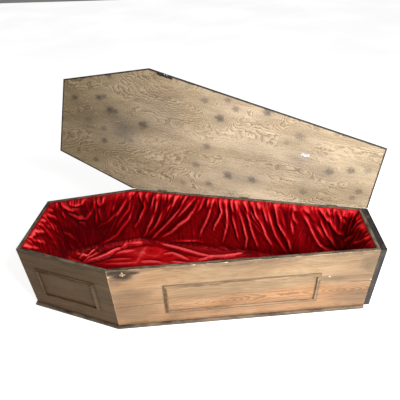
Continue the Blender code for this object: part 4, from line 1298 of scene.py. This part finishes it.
class COFFIN_OT_boards(bpy.types.Operator):
    """Finishes the head, shoulder, side and foot boards"""

    bl_idname = "coffin.boards"
    bl_label = "Boards"

    def execute(self, context):
        stains = (
            ((0.050, 0.0, 0.399), (0.080, 0.05, 0.026), 0.14),
            ((0.078, 0.0, 0.380), (0.064, 0.05, 0.044), 0.20),
            ((0.125, 0.0, 0.392), (0.050, 0.05, 0.014), 0.30),
        )
        chips = (
            ((1.130, 0.0, 0.255), (0.008, 0.05, 0.005), 0.3),
            ((1.360, 0.0, 0.207), (0.005, 0.05, 0.006), 0.3),
            ((0.004, 0.0, 0.375), (0.010, 0.05, 0.006), 0.5),
            ((0.000, 0.0, 0.346), (0.006, 0.05, 0.010), 0.5),
            ((0.430, 0.0, 0.416), (0.012, 0.003, 0.003), 0.7),
            ((0.590, 0.0, 0.416), (0.009, 0.003, 0.003), 0.7),
        )
        # The broad low marks at both ends of the near side are painted shade; the rest are handling
        # dirt.
        dirt_and_shade_marks = (
            ((0.036, 0.0, 0.345), (0.050, 0.05, 0.050), 0.30),
            ((1.150, 0.0, 0.235), (0.110, 0.05, 0.026), 0.40),
            ((0.080, 0.0, 0.100), (0.200, 0.05, 0.110), 0.30),
            ((0.100, 0.0, 0.230), (0.150, 0.05, 0.060), 0.30),
            ((1.290, 0.0, 0.080), (0.160, 0.05, 0.070), 0.30),
            ((1.330, 0.0, 0.330), (0.070, 0.05, 0.060), 0.35),
            ((0.700, 0.0, 0.392), (0.300, 0.05, 0.012), 0.40),
        )
        shown = {"stains": stains, "chips": chips, "dirt_and_shade_marks": dirt_and_shade_marks, "shade": (0.98, 0.97, 0.96, 1.0)}
        boards = (
            ("near_side", SHOULDER_NEAR, (0.142, 0.200), (2.3, 0.137, 0.004, 0.24), shown),
            ("far_side", FOOT_FAR, (0.215, 0.190), (5.9, 0.110, 0.012, 0.20), {}),
            # Painted shade: the near shoulder's shade colour darkens the whole board, as if it faced
            # away from the light.
            ("near_shoulder", HEAD_NEAR, (0.160, 0.150), (8.1, 0.120, 0.012, 0.20),
             {"shade": (0.28, 0.25, 0.17, 1.0)}),
            ("far_shoulder", SHOULDER_FAR, (0.190, 0.170), (12.7, 0.100, 0.012, 0.20), {}),
            ("head", HEAD_FAR, (0.180, 0.170), (15.2, 0.110, 0.014, 0.20), {}),
            ("foot", FOOT_NEAR, (0.180, 0.190), (19.4, 0.100, 0.014, 0.20), {}),
        )
        for name, wall, joint, pith, more in boards:
            dress(name + "_board", board_finish(name + "_timber", wall, joint, pith, **more))
        return {"FINISHED"}


class COFFIN_OT_strips(bpy.types.Operator):
    """Finishes the moulded strips of the five panels"""

    bl_idname = "coffin.strips"
    bl_label = "Moulded strips"

    def execute(self, context):
        walls = {"head": HEAD_FAR, "near_shoulder": HEAD_NEAR, "near_side": SHOULDER_NEAR,
                 "far_side": FOOT_FAR, "far_shoulder": SHOULDER_FAR}
        for panel, wall in walls.items():
            # Painted shade: the near shoulder's strips are darkened as if out of the light.
            shade = (0.41, 0.35, 0.22, 1.0) if panel == "near_shoulder" else (0.96, 0.96, 0.94, 1.0)
            material = strip_finish(panel + "_strip_timber", wall, shade)
            for side in ("bottom", "top", "start", "end"):
                dress(panel + "_strip_" + side, material)
            if panel == "near_side":
                # Painted shade on the near side's start strip, whose inner slope faces away from the
                # light.
                shaded_start_strip = strip_finish("shaded_start_strip_timber", wall, (0.68, 0.62, 0.48, 1.0))
                dress("near_side_strip_start", shaded_start_strip)
        return {"FINISHED"}


class COFFIN_OT_base_and_foot(bpy.types.Operator):
    """Finishes the base board and the black foot block"""

    bl_idname = "coffin.base_and_foot"
    bl_label = "Base and foot block"

    def execute(self, context):
        dress("base_board", base_finish())
        dress("foot_block", black_paint_finish())
        return {"FINISHED"}


class COFFIN_OT_lid(bpy.types.Operator):
    """Finishes the lid"""

    bl_idname = "coffin.lid"
    bl_label = "Lid"

    def execute(self, context):
        dress("lid", lid_finish())
        return {"FINISHED"}


class COFFIN_OT_ironwork(bpy.types.Operator):
    """Finishes the hinges, the catch and the lid's plates"""

    bl_idname = "coffin.ironwork"
    bl_label = "Ironwork"

    def execute(self, context):
        iron = metal_finish("hinge_iron", colour(64, 56, 46), colour(96, 86, 72),
                            0.35, 0.50, 0.80, 0.45)
        for number in range(1, 4):
            dress("hinge_%d_box_leaf" % number, iron)
            dress("hinge_%d_lid_leaf" % number, iron)
        bright = metal_finish("pale_metal", colour(168, 168, 170), colour(250, 251, 253),
                              0.25, 0.24, 0.45, 0.30)
        brass = metal_finish("keeper_brass", colour(172, 138, 98), colour(232, 208, 172),
                             0.55, 0.30, 0.55, 0.40)
        dress("catch_keeper", brass)
        dress("lid_plate", bright)
        dark = metal_finish("catch_plate_metal", colour(54, 52, 52), colour(104, 100, 96),
                            0.8, 0.35, 0.65, 0.45)
        dress("lid_catch", dark)
        return {"FINISHED"}


# Screw heads, and the dark strip behind the far rim, which is painted shadow in the slot under the open
# lid. Distances along the far side start at its foot end.
SCREW_RADIUS = 0.0030
SCREW_TALL = 0.0012
SCREW_RIM = 0.0009
SCREW_DOME = 0.0005
SLOT_SIZE = (0.0080, 0.0007, 0.0012)
SLOT_HEIGHT = 0.0016
FIRST_HINGE = 0.197
LAST_HINGE_TO_END = 0.180
SCREW_STEP = 0.020
BOX_LEAF_FACE = 0.0023
BOX_SCREWS_BELOW_RIM = 0.019
LID_LEAF_FACE = 0.0043
LID_SCREWS_ABOVE_RIM = 0.0115
LID_PLATE_FROM_FOOT = 0.413
LID_PLATE_ACROSS = -0.056
LID_PLATE_THICK = 0.0030
LID_PLATE_SCREW_STEP = 0.8 * SCREW_STEP
LID_UNDERSIDE = RIM + 0.0003
CATCH_SCREWS = (("a", 0.098), ("b", 0.113))
CATCH_SCREWS_OUT = 0.0048
# The dark strip that is painted shadow in the slot under the open lid: its gaps at the hinges and ends,
# its place and its size.
SHADOW_STRIP_GAP_AT_HINGE = 0.032
SHADOW_STRIP_FROM_START = 0.006
SHADOW_STRIP_TO_END = 0.004
SHADOW_STRIP_OUT = 0.00105
SHADOW_STRIP_BELOW_RIM = 0.0065
SHADOW_STRIP_THICK = 0.0017
SHADOW_STRIP_WIDE = 0.0130
SHADOW_STRIP_ROUNDING = 0.0003


def screw_blank():
    """A small domed slotted screw head at the origin, looking along Z, made once and copied."""
    bpy.ops.object.select_all(action="DESELECT")
    bpy.ops.mesh.primitive_cylinder_add(vertices=20, radius=SCREW_RADIUS, depth=SCREW_TALL,
                                        location=(0.0, 0.0, SCREW_TALL / 2.0))
    screw = bpy.context.active_object
    screw.name = "screw_blank"
    bpy.ops.object.mode_set(mode="EDIT")
    bpy.ops.mesh.select_mode(type="FACE")
    bpy.ops.mesh.select_all(action="DESELECT")
    bpy.ops.object.mode_set(mode="OBJECT")
    for polygon in screw.data.polygons:
        polygon.select = polygon.normal.z > 0.9
    bpy.ops.object.mode_set(mode="EDIT")
    bpy.ops.mesh.inset(thickness=SCREW_RIM)
    bpy.ops.transform.translate(value=(0.0, 0.0, SCREW_DOME))
    bpy.ops.object.mode_set(mode="OBJECT")
    bpy.ops.object.select_all(action="DESELECT")
    bpy.ops.mesh.primitive_cube_add(size=1.0, location=(0.0, 0.0, SLOT_HEIGHT))
    cutter = bpy.context.active_object
    cutter.scale = SLOT_SIZE
    slot = screw.modifiers.new("slot", "BOOLEAN")
    slot.object = cutter
    slot.operation = "DIFFERENCE"
    slot.solver = "EXACT"
    bpy.ops.object.select_all(action="DESELECT")
    screw.select_set(True)
    bpy.context.view_layer.objects.active = screw
    bpy.ops.object.modifier_apply(modifier="slot")
    screw.data.transform(screw.matrix_world)
    screw.matrix_world = Matrix.Identity(4)
    bpy.data.objects.remove(cutter)
    return screw


def side_place(wall, along, out, height):
    """A place on a wall, in the object's frame: along it, out of its face and up from the ground."""
    direction = wall_direction(wall)
    outward = Vector((direction.y, -direction.x, 0.0))
    start = plan_corners()[wall]
    spot = Vector((start.x, start.y, height)) + direction.to_3d() * along + outward * out
    return spot, outward


def lid_opened(place, facing):
    """Where a place on the shut lid, and its direction, go when the lid is open."""
    forward = Matrix.Rotation(-LID_OPEN_ANGLE, 3, Vector(LID_HINGE["axis"]))
    centre = Vector(LID_HINGE["pos_m"])
    return centre + forward @ (place - centre), forward @ facing


class COFFIN_OT_fasteners(bpy.types.Operator):
    """Adds the screws of the hinges, the catch and the lid's plate, and a dark strip behind the rim as
    painted shadow in the slot under the open lid
    """

    bl_idname = "coffin.fasteners"
    bl_label = "Fasteners and tape"

    def execute(self, context):
        iron = metal_finish("screw_iron", colour(150, 144, 134), colour(214, 210, 202),
                            0.45, 0.30, 0.50, 0.30)
        blank = screw_blank()
        places = []
        far_length = (plan_corners()[(FOOT_FAR + 1) % 6] - plan_corners()[FOOT_FAR]).length
        last = far_length - LAST_HINGE_TO_END
        for number in range(3):
            hinge = f"hinge_{number + 1}"
            middle = FIRST_HINGE + (last - FIRST_HINGE) * number / 2.0
            for offset in (-SCREW_STEP, 0.0, SCREW_STEP):
                spot, outward = side_place(FOOT_FAR, middle + offset, BOX_LEAF_FACE,
                                           RIM - BOX_SCREWS_BELOW_RIM)
                places.append((f"{hinge}_box_screw_{len(places) % 3 + 1}", spot, outward, "box"))
            for side, offset in (("a", -SCREW_STEP), ("b", SCREW_STEP)):
                spot, outward = side_place(FOOT_FAR, middle + offset, LID_LEAF_FACE,
                                           RIM + LID_SCREWS_ABOVE_RIM)
                spot, outward = lid_opened(spot, outward)
                places.append((f"{hinge}_lid_screw_{side}", spot, outward, "lid"))
        down = Vector((0.0, 0.0, -1.0))
        for side, offset in (("a", -LID_PLATE_SCREW_STEP), ("b", LID_PLATE_SCREW_STEP)):
            along = LENGTH / 2.0 - LID_PLATE_FROM_FOOT + offset
            spot = Vector((along, LID_PLATE_ACROSS, LID_UNDERSIDE - LID_PLATE_THICK))
            spot, outward = lid_opened(spot, down)
            places.append((f"lid_plate_screw_{side}", spot, outward, "lid"))
        for side, along in CATCH_SCREWS:
            spot = side_place(SHOULDER_NEAR, along, CATCH_SCREWS_OUT, LID_UNDERSIDE)[0]
            spot, outward = lid_opened(spot, down)
            places.append((f"lid_catch_screw_{side}", spot, outward, "lid"))
        for name, spot, outward, body in places:
            screw = bpy.data.objects.new(name, blank.data.copy())
            turn = outward.to_track_quat("Z", "Y").to_matrix().to_4x4()
            screw.data.transform(Matrix.Translation(spot) @ turn)
            screw.data.materials.append(iron)
            context.scene.collection.objects.link(screw)
            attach(screw, body)
        bpy.data.objects.remove(blank)
        self.shadow_strip(far_length, (FIRST_HINGE, FIRST_HINGE + (last - FIRST_HINGE) / 2.0, last))
        return {"FINISHED"}

    def shadow_strip(self, far_length, hinges):
        """A dark strip on the far board's outer face, in the lengths between the hinges: painted shadow
        in the slot under the open lid.
        """
        material, w, shader, where = new_finish("far_rim_shadow_strip")
        strip_texture = w.noise(w.placed(where, size=(300.0, 300.0, 700.0)), 1.0, 2.0, 0.6)
        worn = w.noise(where, 34.0, 4.0, 0.6)
        body = w.mix(w.span(worn, 0.45, 0.70), colour(34, 29, 25), colour(74, 64, 54))
        w.put(shader["Base Color"], w.mix(w.times(strip_texture, 0.4), body, colour(28, 24, 22)))
        w.put(shader["Roughness"], w.span(strip_texture, 0.3, 0.7, 0.80, 0.62, False))
        starts = [SHADOW_STRIP_FROM_START] + [middle + SHADOW_STRIP_GAP_AT_HINGE for middle in hinges]
        ends = [middle - SHADOW_STRIP_GAP_AT_HINGE for middle in hinges] + [far_length - SHADOW_STRIP_TO_END]
        direction = wall_direction(FOOT_FAR)
        angle = math.atan2(direction.y, direction.x)
        for number in range(4):
            start, end = starts[number], ends[number]
            spot = side_place(FOOT_FAR, (start + end) / 2.0, SHADOW_STRIP_OUT, RIM - SHADOW_STRIP_BELOW_RIM)[0]
            bpy.ops.object.select_all(action="DESELECT")
            bpy.ops.mesh.primitive_cube_add(size=1.0)
            strip = bpy.context.active_object
            strip.name = f"far_rim_shadow_strip_{number + 1}"
            strip.data.transform(Matrix.Diagonal((end - start, SHADOW_STRIP_THICK, SHADOW_STRIP_WIDE, 1.0)))
            bevel = strip.modifiers.new("rounding", "BEVEL")
            bevel.width = SHADOW_STRIP_ROUNDING
            bevel.segments = 2
            bpy.ops.object.modifier_apply(modifier="rounding")
            strip.data.transform(Matrix.Translation(spot) @ Matrix.Rotation(angle, 4, "Z"))
            strip.data.materials.append(material)
            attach(strip, "box")


class COFFIN_OT_lining(bpy.types.Operator):
    """Gathers the red lining over the walls and the floor"""

    bl_idname = "coffin.lining"
    bl_label = "Lining"

    def execute(self, context):
        look = context.scene.coffin_cloth
        points, faces, ring = cloth_grid()
        points = floor_curve(points, ring)
        gathered, direction, flow = gathered_points(points, ring)
        fixed = np.arange(sum(WALL_COLUMNS))
        rounded = soften(gathered, faces, fixed, look.softening)
        even = soften(rounded, faces, fixed, 16)
        calm = soften(rounded, faces, fixed, 2)
        # The crest share goes to the material, which paints highlights on the crests and shade in the
        # hollows from it.
        crest = np.clip(np.sum((calm - even) * direction, axis=1) / 0.0034, -1.0, 1.0)
        mesh = bpy.data.meshes.new("lining_cloth")
        mesh.from_pydata([tuple(point) for point in rounded], [], faces)
        mesh.update()
        for polygon in mesh.polygons:
            polygon.use_smooth = True
        mesh.attributes.new("crest", "FLOAT", "POINT").data.foreach_set("value", crest)
        mesh.attributes.new("flow", "FLOAT_VECTOR", "POINT").data.foreach_set("vector", flow.ravel())
        mesh.materials.append(cloth_finish())
        piece = bpy.data.objects.new("lining_cloth", mesh)
        context.scene.collection.objects.link(piece)
        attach(piece, "box")
        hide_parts("lining")
        return {"FINISHED"}


class COFFIN_OT_stage(bpy.types.Operator):
    """Sets up the floor, the lights and the camera"""

    bl_idname = "coffin.stage"
    bl_label = "Stage"

    def execute(self, context):
        look = context.scene.coffin_stage
        scene = context.scene
        bpy.ops.object.select_all(action="DESELECT")
        bpy.ops.mesh.primitive_plane_add(size=24.0, location=(0.0, 0.0, 0.0))
        floor = context.active_object
        floor.name = "studio_floor"
        material, w, shader, where = new_finish("studio_floor_paper")
        paper = w.mix(w.span(w.noise(where, 0.6, 2.0), 0.3, 0.7), look.floor_white,
                      (0.90, 0.90, 0.90, 1.0))
        w.put(shader["Base Color"], paper)
        w.put(shader["Emission Color"], paper)
        seen = w.node("ShaderNodeLightPath").outputs["Is Camera Ray"]
        w.put(shader["Emission Strength"], w.times(seen, look.floor_glow))
        shader["Roughness"].default_value = 0.9
        floor.data.materials.append(material)
        world = bpy.data.worlds.new("soft_room")
        world.use_nodes = True
        world.node_tree.nodes["Background"].inputs["Color"].default_value = (1.0, 1.0, 1.0, 1.0)
        world.node_tree.nodes["Background"].inputs["Strength"].default_value = look.fill_power
        scene.world = world
        self.light("key_light", (1.9, -2.1, 2.15), 0.9, look.key_power, (0.1, 0.0, 0.4))
        self.light("top_light", (0.85, -0.55, 2.3), 0.5, look.key_power * 0.30, (0.35, 0.1, 0.2))
        lens = bpy.data.cameras.new("photo_camera")
        lens.lens = look.focal_length
        lens.sensor_width = 36.0
        lens.clip_start = 0.05
        camera = bpy.data.objects.new("photo_camera", lens)
        turn = (Matrix.Rotation(look.camera_yaw, 4, "Z")
                @ Matrix.Rotation(math.pi / 2.0 - look.camera_pitch, 4, "X")
                @ Matrix.Rotation(look.camera_roll, 4, "Z"))
        camera.matrix_world = Matrix.Translation(Vector(look.camera_place)) @ turn
        scene.collection.objects.link(camera)
        scene.camera = camera
        scene.view_settings.view_transform = "Standard"
        return {"FINISHED"}

    def light(self, name, place, size, power, target):
        """A square soft light aimed at a place."""
        data = bpy.data.lights.new(name, "AREA")
        data.size = size
        data.energy = power
        lamp = bpy.data.objects.new(name, data)
        aim = Vector(target) - Vector(place)
        lamp.rotation_euler = aim.to_track_quat("-Z", "Y").to_euler()
        lamp.location = place
        bpy.context.scene.collection.objects.link(lamp)


OPERATORS = (
    COFFIN_OT_shared_effects,
    COFFIN_OT_boards,
    COFFIN_OT_strips,
    COFFIN_OT_base_and_foot,
    COFFIN_OT_lid,
    COFFIN_OT_ironwork,
    COFFIN_OT_fasteners,
    COFFIN_OT_lining,
    COFFIN_OT_stage,
)


class COFFIN_PT_panel(bpy.types.Panel):
    """Lists the coffin's steps in the sidebar"""

    bl_label = "Coffin"
    bl_idname = "COFFIN_PT_panel"
    bl_space_type = "VIEW_3D"
    bl_region_type = "UI"
    bl_category = "Coffin"

    def draw(self, context):
        for operator in OPERATORS:
            self.layout.operator(operator.bl_idname)


GROUPS = (CoffinTimber, CoffinCloth, CoffinStage)


def register():
    """Registers the classes and hangs the settings on the scene."""
    for item in GROUPS + OPERATORS + (COFFIN_PT_panel,):
        bpy.utils.register_class(item)
    bpy.types.Scene.coffin_timber = PointerProperty(type=CoffinTimber)
    bpy.types.Scene.coffin_cloth = PointerProperty(type=CoffinCloth)
    bpy.types.Scene.coffin_stage = PointerProperty(type=CoffinStage)


def unregister():
    """Takes the settings and the classes away."""
    del bpy.types.Scene.coffin_stage
    del bpy.types.Scene.coffin_cloth
    del bpy.types.Scene.coffin_timber
    for item in reversed(GROUPS + OPERATORS + (COFFIN_PT_panel,)):
        bpy.utils.unregister_class(item)


def main():
    """Runs every step in order."""
    register()
    bpy.ops.coffin.shared_effects()
    bpy.ops.coffin.boards()
    bpy.ops.coffin.strips()
    bpy.ops.coffin.base_and_foot()
    bpy.ops.coffin.lid()
    bpy.ops.coffin.ironwork()
    bpy.ops.coffin.fasteners()
    bpy.ops.coffin.lining()
    bpy.ops.coffin.stage()


if __name__ == "__main__":
    main()
